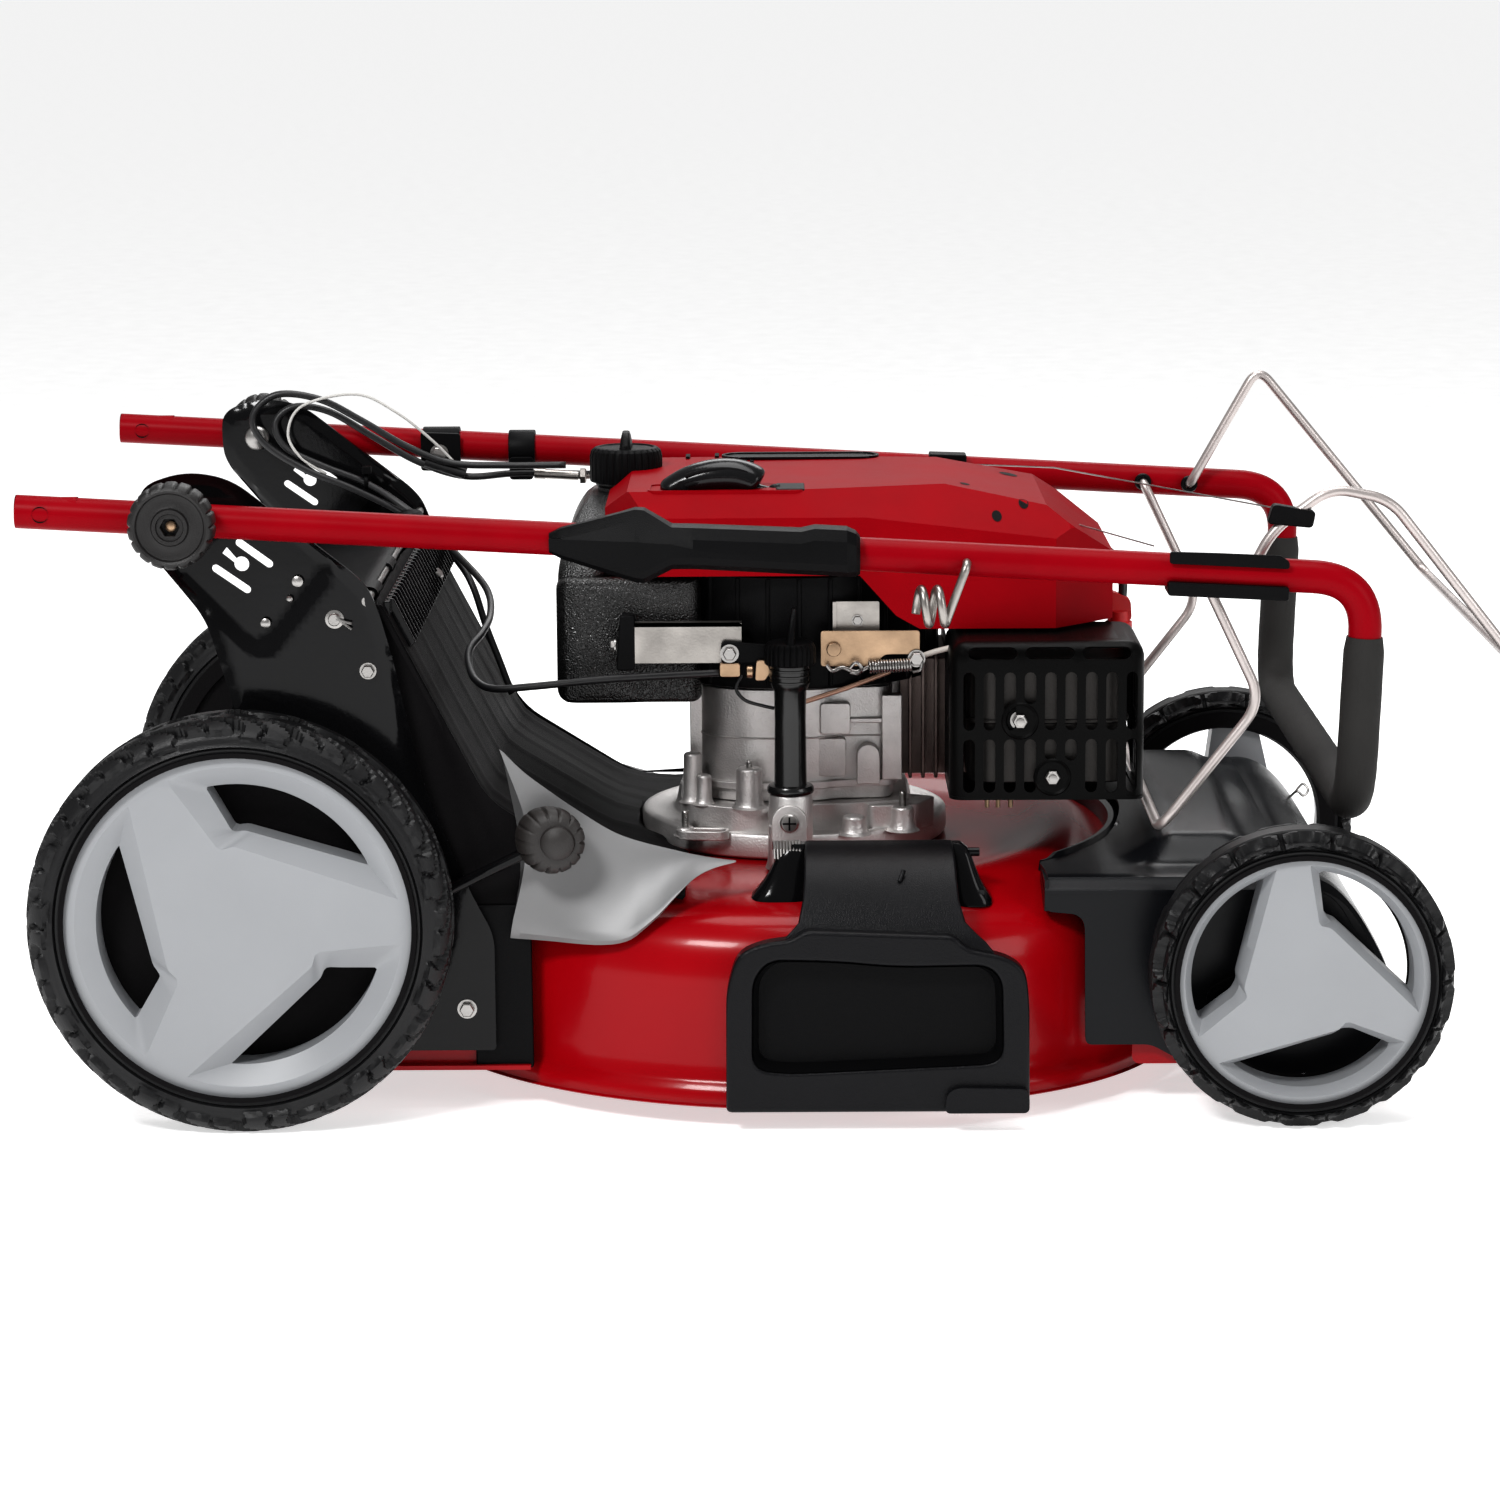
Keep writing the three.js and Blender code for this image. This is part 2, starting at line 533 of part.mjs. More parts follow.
const BARREL_Z = 238;
const FIN = { from: 446, pitch: 9, count: 10, thick: 3, half: 62, low: 194, high: 283 };
const fins = Array.from({ length: FIN.count }, (_, i) => {
  const x = FIN.from + FIN.pitch * i;
  return box([x, x + FIN.thick], [-FIN.half, FIN.half], [FIN.low, FIN.high]);
});
add('engine_block', cut(join(
  turned(disc(74, [SPLIT_Z + GAP, BLOCK_TOP]), crankAt, 'z', 32),
  box([CRANK_X - 66, CRANK_X + 70], [-68, 68], [SPLIT_Z + GAP, BLOCK_TOP]),
  box([400, 543], [-38, 38], [BARREL_Z - 38, 261]), ...fins),
turned(disc(60, [SPLIT_Z - 5, 250]), crankAt, 'z', 32),
turned(disc(SHAFT_R + 0.5, [100, 300]), crankAt, 'z', 20),
turned(disc(HOUSING_R + 1, [BLOCK_TOP, 300]), crankAt)), ALUMINIUM);

const headFins = [552, 561, 570].map((x) => box([x, x + 5], [-80, 80], [270, 300]));
add('cylinder_head', cut(box([543 + GAP, 585], [-58, 58], [192, 288]), ...headFins), ALUMINIUM);
add('plug_boot', join(rod([585 + GAP, 0, 268], [600, 0, 268], 9, 12),
  rod([597, 0, 262], [597, 0, 303], 8, 12)), BOOT_RED);

const MUFFLER_X = [484, 592];
add('muffler', cut(join(box(MUFFLER_X, [-147, -74], [208, 294]),
  rod([520, -76, 250], [520, -FIN.half - GAP, 250], 12, 12)),
box([MUFFLER_X[0] + 2, MUFFLER_X[1] - 2], [-145, -76], [210, 292]),
rod([520, -80, 250], [520, -50, 250], 9, 12)), STEEL);

// Pressed guard around the muffler, slotted on its face and its top, open to the engine.
const GUARD = { x: [471, 603], y: [-155, -67], z: [198, 306] };
const guardSlots = [];
for (let i = 0; i < 10; i += 1) {
  const x = GUARD.x[0] + 9 + i * 11.8;
  guardSlots.push(box([x, x + 7], [-160, -150], [208, 248]));
  guardSlots.push(box([x, x + 7], [-160, -150], [254, 294]));
  guardSlots.push(box([x, x + 7], [-142, -80], [300, 310]));
}
const guardBolt = ([x, z]) => rod([x, GUARD.y[0], z], [x, -147 - GAP, z], 7, 10);
add('muffler_guard', join(cut(
  box(GUARD.x, GUARD.y, GUARD.z),
  box([GUARD.x[0] + 2, GUARD.x[1] - 2], [GUARD.y[0] + 2, 0], [GUARD.z[0] + 2, GUARD.z[1] - 2]),
  box([GUARD.x[0] - 5, GUARD.x[0] + 5], [-146, 0], [212, 290]),
  ...guardSlots), guardBolt([518, 255]), guardBolt([541, 214])), BLACK_STEEL);

add('blower_housing', cut(
  turned(disc(HOUSING_R, [BLOCK_TOP + 2, 344]), crankAt, 'z', 36),
  turned(disc(HOUSING_R - 3, [BLOCK_TOP + 6, 350]), crankAt, 'z', 36),
  turned(disc(24, [BLOCK_TOP, 300]), crankAt, 'z', 20)), BLACK_PLASTIC);
add('flywheel', turned(ring(SHAFT_R + GAP, 88, [290, 326]), crankAt, 'z', 36), ALUMINIUM);

// Red engine shroud: a shell from a side outline and a plan outline.
function shroudForm(inset, bottom) {
  const side = [[236 + inset, bottom], [236 + inset, 388 - inset], [252 + inset, 402 - inset],
    [470, 404 - inset], [540, 390 - inset], [587 - inset, 356 - inset], [587 - inset, bottom]];
  const plan = [[236 + inset, -70], [266, -SHROUD_HALF + inset], [545, -SHROUD_HALF + inset],
    [587 - inset, -70], [587 - inset, 70], [545, SHROUD_HALF - inset],
    [266, SHROUD_HALF - inset], [236 + inset, 70]];
  const crown = [[-SHROUD_HALF + inset, bottom], [-SHROUD_HALF + inset, 386 - inset],
    [-SHROUD_HALF + 20, 404 - inset], [SHROUD_HALF - 20, 404 - inset],
    [SHROUD_HALF - inset, 386 - inset], [SHROUD_HALF - inset, bottom]];
  return sidePlate(side, [-SHROUD_HALF, SHROUD_HALF])
    .intersect(floorPlate(plan, [bottom, 420]))
    .intersect(crossPlate(crown, [200, 620]));
}
const CAP = { x: 247, y: 45 };
const shroudEdge = [[200, 200], [200, 346], [411, 346], [436, 318], [452, 309], [620, 309],
  [620, 200]];
const GRIP_Y = -78;
const recess = box([268, 372], [GRIP_Y - 16, GRIP_Y + 16], [388, 420]);
const recessFloor = box([266, 374], [GRIP_Y - 18, GRIP_Y + 18], [385.5, 404]);
add('engine_shroud', cut(
  join(cut(shroudForm(0, 250), shroudForm(2.5, 240)), recessFloor.intersect(shroudForm(0, 250))),
  sidePlate(shroudEdge, [-150, 150]), recess,
  turned(disc(31, [300, 420]), [CAP.x, CAP.y, 0], 'z', 24)), RED);

add('fuel_tank', join(
  cut(box([202, 302], [-100, 100], [255, 343]),
    turned(disc(HOUSING_R + 2, [200, 420]), crankAt, 'z', 36)),
  box([202, 235], [-96, 96], [340, 384]),
  turned(disc(20, [340, 392]), [CAP.x, CAP.y, 0], 'z', 20)), TANK_BLACK);
add('fuel_cap', join(turned(disc(26, [392 + GAP, 415]), [CAP.x, CAP.y, 0], 'z', 24),
  box([CAP.x - 22, CAP.x + 22], [CAP.y - 3, CAP.y + 3], [414, 423])), BLACK_PLASTIC);

const fillerAt = [FILLER.x, FILLER.y, 0];
add('dipstick_tube', turned([[8, 199 + GAP], [15, 199 + GAP], [15, 202], [10.5, 203], [10.5, 270],
  [13.5, 274], [13.5, 288], [8, 288], [8, 199 + GAP]], fillerAt, 'z', 16), BLACK_PLASTIC);
add('dipstick', join(turned([[0, 215], [2.5, 215], [2.5, 288 + GAP], [17.5, 288 + GAP],
  [17.5, 300], [15, 304], [0, 304]], fillerAt, 'z', 16),
box([FILLER.x - 2.5, FILLER.x + 2.5], [FILLER.y - 14, FILLER.y + 14], [302, 326])),
BLACK_PLASTIC);

const gripOutline = [[283, 402], [289, 415], [303, 422], [338, 424], [350, 417], [349, 404],
  [349, 393], [336, 392], [318, 400], [296, 397]];
add('starter_grip', sidePlate(gripOutline, [GRIP_Y - 9, GRIP_Y + 9]), BLACK_PLASTIC);
add('starter_rope', rod([349 + GAP, GRIP_Y, 397], [371, GRIP_Y, 397], 2, 8), FOAM_BLACK);

add('carburettor', join(box([300, 352], [104, 150], [285, 325]),
  rod([326, 104, 300], [326, HOUSING_R - 3 + GAP + 0.5, 300], 10, 12)), ALUMINIUM);
add('air_filter_housing', box([236, 299.5], [104, 176], [268, 345]), BLACK_PLASTIC);

add('control_bracket', join(box([255, 330], [-117, -114], [287, 314]),
  box([255, 330], [-117, -106], [311, 314]),
  box([318, 330], [-117, -97], [290, 300])), ZINC);
const BRAKE_LEVER = { x: 393, z: 296 };
add('brake_lever', join(
  sidePlate([[384, 284], [420, 284], [428, 292], [452, 292], [452, 308], [384, 308]],
    [-116, -114]),
  rod([BRAKE_LEVER.x, -118, BRAKE_LEVER.z], [BRAKE_LEVER.x, -101, BRAKE_LEVER.z], 5, 12)),
BRASS_ZINC);

// ---- handle ------------------------------------------------------------------------------

const tubeZ = (x) => HANDLE_PIVOT.z + HANDLE_SLOPE * (x - HANDLE_PIVOT.x);
const CORNER_X = 741;

function handleCorners(tail) {
  const halfPath = (side) => [[tail, side * TUBE_Y, tubeZ(tail)],
    [CORNER_X, side * TUBE_Y, tubeZ(CORNER_X)], [GRIP_X, side * TUBE_Y, GRIP_Z]];
  return [...halfPath(RIGHT), ...halfPath(LEFT).reverse()];
}
const handleBends = [36, 40, 40, 36];
const handlePath = rounded(handleCorners(TAIL_X), handleBends, 4);
const borePath = rounded(handleCorners(TAIL_X - 20), handleBends, 4);
const crossHole = (x, z, radius, [y0, y1]) => [RIGHT, LEFT].map((side) =>
  rod([x, side * y0, z], [x, side * y1, z], radius, 12));
const lockTail = HANDLE_PIVOT.x - LOCK_RADIUS;
const ROPE_HOOK = { x: 478, z: tubeZ(478) };
add('handle_tube', cut(
  tube(handlePath, TUBE_R, 12), tube(borePath, TUBE_R - TUBE_WALL, 12),
  ...crossHole(HANDLE_PIVOT.x, HANDLE_PIVOT.z, BOLT_HOLE_R, [200, 260]),
  ...crossHole(lockTail, tubeZ(lockTail), BOLT_HOLE_R, [200, 260]),
  ...crossHole(BRAKE_PIVOT_X, tubeZ(BRAKE_PIVOT_X), BAIL_R + 0.5, [200, 230]),
  ...crossHole(DRIVE_PIVOT_X, tubeZ(DRIVE_PIVOT_X), BAIL_R + 0.5, [200, 230]),
  rod([ROPE_HOOK.x, -260, ROPE_HOOK.z], [ROPE_HOOK.x, -200, ROPE_HOOK.z], 3.5, 12)), RED);

const legZ = 322;
const foamCorners = (top, drop) => {
  const legX = (z) => GRIP_X + (CORNER_X - GRIP_X) * (z - GRIP_Z) / (tubeZ(CORNER_X) - GRIP_Z);
  return [[legX(top), -TUBE_Y, top], [GRIP_X, -TUBE_Y, GRIP_Z - drop],
    [GRIP_X, TUBE_Y, GRIP_Z - drop], [legX(top), TUBE_Y, top]];
};
add('foam_grip', cut(tube(rounded(foamCorners(legZ, 0), 40, 4), FOAM_R, 12),
  tube(rounded(foamCorners(legZ + 10, 0), 40, 4), TUBE_R + 0.6, 12)), FOAM_BLACK);

function bail(pivotX, right, left, bend) {
  const hang = (side, corners) => [[pivotX, side * 228, tubeZ(pivotX)],
    [pivotX, side * BAIL_Y, tubeZ(pivotX)], ...corners.map(([x, z]) => [x, side * BAIL_Y, z])];
  const path = [...hang(RIGHT, right), ...hang(LEFT, left).reverse()];
  return tube(rounded(path, bend, 4), BAIL_R, 8);
}
const brakeArm = [[675, 276], [608, 190]];
add('brake_bail', bail(BRAKE_PIVOT_X, brakeArm, brakeArm, 18), STEEL);
add('drive_bail', bail(DRIVE_PIVOT_X, [[680, 390], [718, 418], [757, 410], [847, 296]],
  [[717, 453], [847, 296]], 14), STEEL);

const COVER_X = [206, 408];
const lift = (points) => points.map(([x, rise]) => [x, tubeZ(x) + rise]);
const coverOutline = lift([[206, 6], [265, 24], [286, 14.5], [372, 16], [380, 19], [400, 19],
  [408, 12], [408, -13], [290, -13], [264, -25], [206, -9]]);
add('handle_cover', cut(sidePlate(coverOutline, [-258, -226]),
  tube([new THREE.Vector3(180, -TUBE_Y, tubeZ(180)), new THREE.Vector3(430, -TUBE_Y, tubeZ(430))],
    TUBE_R + 0.6, 16),
  box([COVER_X[0] - 5, COVER_X[1] + 5], [-232, -220], [tubeZ(306) - 16.5, tubeZ(306) + 16.5])),
BLACK_PLASTIC);

add('rope_guide', tube(rounded([[ROPE_HOOK.x, -222, ROPE_HOOK.z], [ROPE_HOOK.x, -250, ROPE_HOOK.z],
  [462, -250, 334], [455, -256, 334], [455, -254, 358], [448, -250, 358], [445, -250, 338]],
5, 3), 3, 8), ZINC);

// ---- control cables ----------------------------------------------------------------------

// Each sheath runs back along the left tube, loops over the bracket and comes down to the chassis.
const smooth = (points, steps) =>
  new THREE.CatmullRomCurve3(points.map((p) => new THREE.Vector3(...p))).getPoints(steps);
const brakeRoute = [[215, 214, 375], [160, 214, 376], [120, 213, 374], [85, 212, 385],
  [50, 212, 405], [18, 210, 424], [-8, 207, 428], [-22, 204, 416], [-14, 201, 398],
  [14, 199, 384], [48, 199, 375], [86, 196, 368], [110, 160, 350], [136, 100, 326],
  [150, 44, 304], [150, -10, 286], [142, -62, 272], [144, -94, 268], [158, -112, 269],
  [190, -119, 272], [240, -121, 277], [318, -121, 281]];
add('brake_cable', tube(smooth(brakeRoute, 40), 2.5, 6), CABLE_BLACK);
const driveRoute = [[196, 206, 383], [150, 206, 383], [110, 206, 385], [76, 206, 398],
  [44, 205, 417], [12, 203, 434], [-20, 200, 438], [-38, 198, 422], [-30, 197, 402],
  [0, 197, 382], [34, 197, 370], [72, 197, 362], [98, 190, 352], [124, 172, 330],
  [146, 160, 300], [160, 155, 268], [166, 152, 240], [168, 150, 216]];
add('drive_cable', tube(smooth(driveRoute, 34), 2.5, 6), CABLE_BLACK);

export default mower;
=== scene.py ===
# The looks of the lawn mower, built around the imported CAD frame.
# Shapes are written in millimetres, with X counted from the rear wheel axis, as the CAD part is;
# at() turns them into metres in the row frame. Sections: camera and light, materials, mesh tools,
# wheels, deck, handle, engine, body panels.
import json
import math
from math import atan2, copysign, cos, degrees, exp, hypot, pi, radians, sin, sqrt
import bmesh
import bpy
from mathutils import Matrix, Vector
from mathutils.geometry import delaunay_2d_cdt


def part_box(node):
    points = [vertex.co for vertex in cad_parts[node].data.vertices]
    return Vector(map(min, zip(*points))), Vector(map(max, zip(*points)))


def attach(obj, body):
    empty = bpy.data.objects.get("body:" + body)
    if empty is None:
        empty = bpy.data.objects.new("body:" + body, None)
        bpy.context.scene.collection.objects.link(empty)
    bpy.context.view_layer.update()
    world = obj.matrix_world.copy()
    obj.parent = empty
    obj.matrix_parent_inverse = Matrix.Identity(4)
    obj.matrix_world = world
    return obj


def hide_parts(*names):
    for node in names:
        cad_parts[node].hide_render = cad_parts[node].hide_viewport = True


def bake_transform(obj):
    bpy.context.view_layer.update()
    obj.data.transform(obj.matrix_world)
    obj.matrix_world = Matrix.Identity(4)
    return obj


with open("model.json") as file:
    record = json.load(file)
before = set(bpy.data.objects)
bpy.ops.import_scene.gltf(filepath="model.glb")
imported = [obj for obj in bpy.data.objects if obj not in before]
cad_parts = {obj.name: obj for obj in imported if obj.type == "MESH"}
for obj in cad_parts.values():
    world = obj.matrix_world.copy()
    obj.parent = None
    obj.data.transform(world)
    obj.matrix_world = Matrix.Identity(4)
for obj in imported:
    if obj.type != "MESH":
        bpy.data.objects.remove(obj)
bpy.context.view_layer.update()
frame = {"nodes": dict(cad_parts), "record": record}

MM = 0.001
RIM_LOW, RIM_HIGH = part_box("rear_right_rim")
ORIGIN_X = -(RIM_LOW.x + RIM_HIGH.x) / 2 / MM
RIGHT, LEFT = -1, 1
SIDES = ((RIGHT, "right"), (LEFT, "left"))


def at(x, y, z):
    """A place in the design's millimetres, as a point of the row frame in metres."""
    return Vector(((x - ORIGIN_X) * MM, y * MM, z * MM))


# ---- camera, light and floor ------------------------------------------------------------

LENS = 103.130568
CAMERA_PLACE = (351.763, -3013.909, 790.030)
CAMERA_TURN = (-0.0056843, 0.1922258, -0.0065780)


def camera():
    """A long lens at the right side, a little above the mower."""
    yaw, pitch, roll = CAMERA_TURN
    forward = Vector((sin(yaw) * cos(pitch), cos(yaw) * cos(pitch), -sin(pitch)))
    right = Vector((cos(yaw), -sin(yaw), 0))
    up = right.cross(forward)
    turned = right * cos(roll) + up * sin(roll)
    upright = up * cos(roll) - right * sin(roll)
    data = bpy.data.cameras.new("camera")
    data.sensor_width = 36
    data.lens = LENS
    cam = bpy.data.objects.new("camera", data)
    place = Matrix((turned, upright, -forward)).transposed().to_4x4()
    place.translation = at(*CAMERA_PLACE)
    cam.matrix_world = place
    bpy.context.scene.collection.objects.link(cam)
    bpy.context.scene.camera = cam


FLOOR_HALF, FLOOR_GAP = 80.0, 0.0005


def lamp(name, place, target, size, power):
    """A rectangular soft box that faces its target."""
    data = bpy.data.lights.new(name, "AREA")
    data.shape = "RECTANGLE"
    data.size, data.size_y = size
    data.energy = power
    light = bpy.data.objects.new(name, data)
    light.location = place
    light.rotation_euler = (Vector(target) - Vector(place)).to_track_quat("-Z", "Y").to_euler()
    bpy.context.scene.collection.objects.link(light)


def stage():
    """A soft studio: even sky light, four soft boxes and a white floor."""
    scene = bpy.context.scene
    scene.view_settings.view_transform = "Standard"
    scene.view_settings.look = "Medium High Contrast"
    world = bpy.data.worlds.new("studio")
    world.use_nodes = True
    world.node_tree.nodes["Background"].inputs["Color"].default_value = (1, 1, 1, 1)
    world.node_tree.nodes["Background"].inputs["Strength"].default_value = 0.27
    scene.world = world
    lamp("key", (-1.3, -2.3, 2.5), (0, 0, 0.2), (0.8, 0.6), 68)
    lamp("top", (0.2, 0.1, 2.8), (0, 0, 0.2), (2.4, 1.4), 44)
    lamp("fill", (2.3, -1.7, 1.2), (0, 0, 0.25), (1.0, 1.4), 16)
    lamp("rear", (0.3, 2.6, 2.0), (0, 0, 0.3), (2.0, 1.2), 20)
    mesh = bpy.data.meshes.new("floor")
    half = FLOOR_HALF
    mesh.from_pydata([(-half, -half, 0), (half, -half, 0), (half, half, 0), (-half, half, 0)], [],
                     [(0, 1, 2, 3)])
    floor = bpy.data.objects.new("floor", mesh)
    floor.location.z = -FLOOR_GAP
    bpy.context.scene.collection.objects.link(floor)
    white = material("floor_white", (0.92, 0.92, 0.92), 0.9, grain=None)
    glow = white.node_tree.nodes["Principled BSDF"].inputs
    glow["Emission Color"].default_value = (1, 1, 1, 1)
    glow["Emission Strength"].default_value = 0.5
    mesh.materials.append(white)


# ---- materials ---------------------------------------------------------------------------

def material(name, colour, rough, metal=0.0, coat=0.0, mottle=(22.0, 0.08), grain=(900.0, 0.08),
             spread=0.06, specular=0.5, pattern="noise"):
    """A procedural finish: slow colour drift, uneven gloss and a fine surface relief."""
    made = bpy.data.materials.new(name)
    made.use_nodes = True
    nodes, links = made.node_tree.nodes, made.node_tree.links
    shader = nodes["Principled BSDF"]
    shader.inputs["Metallic"].default_value = metal
    shader.inputs["Coat Weight"].default_value = coat
    shader.inputs["Coat Roughness"].default_value = 0.06
    shader.inputs["Specular IOR Level"].default_value = specular
    coord = nodes.new("ShaderNodeTexCoord")
    drift = nodes.new("ShaderNodeTexNoise")
    drift.inputs["Scale"].default_value = mottle[0]
    drift.inputs["Detail"].default_value = 5
    links.new(coord.outputs["Object"], drift.inputs["Vector"])
    ramp = nodes.new("ShaderNodeValToRGB")
    for stop, share in zip(ramp.color_ramp.elements, (1 - mottle[1], 1 + mottle[1])):
        stop.color = [min(1, c * share) for c in colour] + [1]
    ramp.color_ramp.elements[0].position = 0.3
    ramp.color_ramp.elements[1].position = 0.7
    links.new(drift.outputs["Fac"], ramp.inputs["Fac"])
    links.new(ramp.outputs["Color"], shader.inputs["Base Color"])
    uneven = nodes.new("ShaderNodeMapRange")
    uneven.inputs["To Min"].default_value = max(0.02, rough - spread)
    uneven.inputs["To Max"].default_value = min(1, rough + spread)
    links.new(drift.outputs["Fac"], uneven.inputs["Value"])
    links.new(uneven.outputs["Result"], shader.inputs["Roughness"])
    if grain:
        if pattern == "noise":
            relief = nodes.new("ShaderNodeTexNoise")
            relief.inputs["Detail"].default_value = 3
            out = relief.outputs["Fac"]
        else:
            relief = nodes.new("ShaderNodeTexVoronoi")
            relief.feature = "SMOOTH_F1"
            out = relief.outputs["Distance"]
        relief.inputs["Scale"].default_value = grain[0]
        links.new(coord.outputs["Object"], relief.inputs["Vector"])
        bump = nodes.new("ShaderNodeBump")
        bump.inputs["Strength"].default_value = grain[1]
        bump.inputs["Distance"].default_value = 0.001
        links.new(out, bump.inputs["Height"])
        links.new(bump.outputs["Normal"], shader.inputs["Normal"])
    return made


RED = material("red_lacquer", (0.29, 0.0004, 0.0045), 0.22, coat=0.1, mottle=(9, 0.06),
               grain=(260, 0.03), specular=0.14)
TUBE_RED = material("red_powder_coat", (0.23, 0.0004, 0.0055), 0.34, grain=(1400, 0.06), specular=0.06)
SHROUD_RED = material("red_satin_shroud", (0.24, 0.0004, 0.0045), 0.42, specular=0.04,
                      grain=(1100, 0.10))
BLACK_GLOSS = material("black_lacquer", (0.0045, 0.0045, 0.005), 0.13, coat=0.1, grain=(300, 0.05),
                       specular=0.16)
BLACK = material("black_moulding", (0.0038, 0.0038, 0.0042), 0.42, grain=(1500, 0.22), specular=0.09)
HOOD_BLACK = material("black_hood", (0.0065, 0.006, 0.0065), 0.52, grain=(1300, 0.25), specular=0.055)
FLAP_BLACK = material("black_flap", (0.0065, 0.0065, 0.0075), 0.3, grain=(1200, 0.3), specular=0.15)
COWL_BLACK = material("black_cowl", (0.007, 0.0075, 0.009), 0.24, grain=(900, 0.08), specular=0.17)
CRACKLE = material("black_crackle", (0.006, 0.006, 0.006), 0.28, grain=(950, 0.8), specular=0.6,
                   pattern="voronoi")
HUB_GREY = material("grey_hubcap", (0.265, 0.272, 0.284), 0.42, mottle=(14, 0.03), grain=(1600, 0.08))
TRIM_GREY = material("grey_trim", (0.20, 0.20, 0.202), 0.42, metal=0.2, mottle=(12, 0.05),
                     grain=(2200, 0.12))
TYRE = material("tyre_rubber", (0.007, 0.007, 0.0076), 0.4, grain=(1100, 0.22), specular=0.3)
GRIP = material("glossy_grip", (0.006, 0.006, 0.0066), 0.2, grain=(600, 0.06), specular=0.3)
FOAM = material("foam_sleeve", (0.026, 0.025, 0.024), 0.7, grain=(2600, 0.5), specular=0.2)
CAST = material("cast_aluminium", (0.62, 0.60, 0.59), 0.46, metal=0.85, mottle=(40, 0.16),
                grain=(700, 0.35), spread=0.1)
STEEL = material("bright_steel", (0.36, 0.35, 0.34), 0.3, metal=0.95, mottle=(60, 0.12),
                 grain=(900, 0.08), spread=0.1)
WIRE = material("bail_wire", (0.50, 0.455, 0.44), 0.36, metal=0.75, mottle=(30, 0.1), grain=(900, 0.08))
ZINC = material("white_zinc", (0.36, 0.34, 0.32), 0.34, metal=0.95, mottle=(40, 0.3), grain=(600, 0.1),
                spread=0.12)
GOLD_ZINC = material("yellow_zinc", (0.42, 0.29, 0.19), 0.34, metal=0.9, mottle=(40, 0.3),
                     grain=(600, 0.1), spread=0.12)
# A darker copy of the cast aluminium, used for the cylinder and head fins.
CAST_DARK = material("dark_fin_aluminium", (0.16, 0.13, 0.12), 0.5, metal=0.8, mottle=(30, 0.3),
                     grain=(700, 0.3), spread=0.12)
MUFFLER_STEEL = material("muffler_steel", (0.045, 0.042, 0.04), 0.45, metal=0.8, mottle=(24, 0.3),
                         grain=(500, 0.2), spread=0.12)
COPPER = material("copper_rod", (0.42, 0.26, 0.19), 0.4, metal=0.7, grain=(800, 0.1))
BLACK_SATIN = material("black_satin_steel", (0.004, 0.004, 0.004), 0.34, grain=(900, 0.15),
                       specular=0.07)
GLOSS_PLASTIC = material("glossy_black_tube", (0.008, 0.008, 0.008), 0.22, grain=(500, 0.05),
                         specular=0.5)
BOOT = material("red_rubber", (0.5, 0.006, 0.008), 0.4, grain=(900, 0.1))
CABLE = material("cable_sheath", (0.012, 0.012, 0.013), 0.4, grain=(900, 0.1))
KNOB_BLACK = material("black_knob", (0.011, 0.010, 0.010), 0.42, grain=(1500, 0.3), specular=0.4)
KNOB = material("brown_knob", (0.017, 0.0145, 0.0135), 0.5, grain=(1500, 0.25))
ROPE = material("braided_rope", (0.55, 0.54, 0.52), 0.8, grain=(1800, 0.6))
BEIGE = material("beige_lead", (0.50, 0.46, 0.42), 0.5, grain=(900, 0.1))

SLOT_FINISH = {"red_paint": RED, "black_steel": BLACK_GLOSS, "black_plastic": BLACK,
               "tank_plastic": CRACKLE, "grey_plastic": TRIM_GREY, "rim_plastic": HUB_GREY,
               "tyre": TYRE, "foam": FOAM, "cast_aluminium": CAST, "steel": STEEL, "zinc_plate": ZINC,
               "yellow_zinc": GOLD_ZINC, "red_rubber": BOOT, "cable_sheath": CABLE,
               "knob_plastic": KNOB,}
for part in frame["record"]["subparts"]:
    shown = frame["nodes"][part["node"]].data
    shown.materials.clear()
    shown.materials.append(SLOT_FINISH[part["material_slot"]])

# ---- mesh tools --------------------------------------------------------------------------

SMOOTH_ANGLE = radians(32)
SLOT_OF = {finish.name: slot for slot, finish in SLOT_FINISH.items()}
SLOT_OF.update({"red_powder_coat": "red_paint", "red_satin_shroud": "red_paint",
                "black_hood": "black_plastic", "black_flap": "black_plastic",
                "black_knob": "black_plastic", "black_cowl": "black_plastic",
                "glossy_grip": "black_plastic", "dark_fin_aluminium": "cast_aluminium",
                "muffler_steel": "steel", "copper_rod": "yellow_zinc",
                "black_satin_steel": "black_steel", "glossy_black_tube": "black_plastic",
                "bail_wire": "steel", "braided_rope": "foam", "beige_lead": "cable_sheath"})


def loose_piece(name, bm, finish, smooth=pi):
    """A finished mesh that is not yet tied to a body, with creases where it bends sharply."""
    bmesh.ops.recalc_face_normals(bm, faces=bm.faces)
    for face in bm.faces:
        face.smooth = True
    for edge in bm.edges:
        edge.smooth = len(edge.link_faces) == 2 and edge.calc_face_angle(0) < smooth
    mesh = bpy.data.meshes.new(name)
    bm.to_mesh(mesh)
    bm.free()
    obj = bpy.data.objects.new(name, mesh)
    bpy.context.scene.collection.objects.link(obj)
    mesh.materials.append(finish)
    return obj


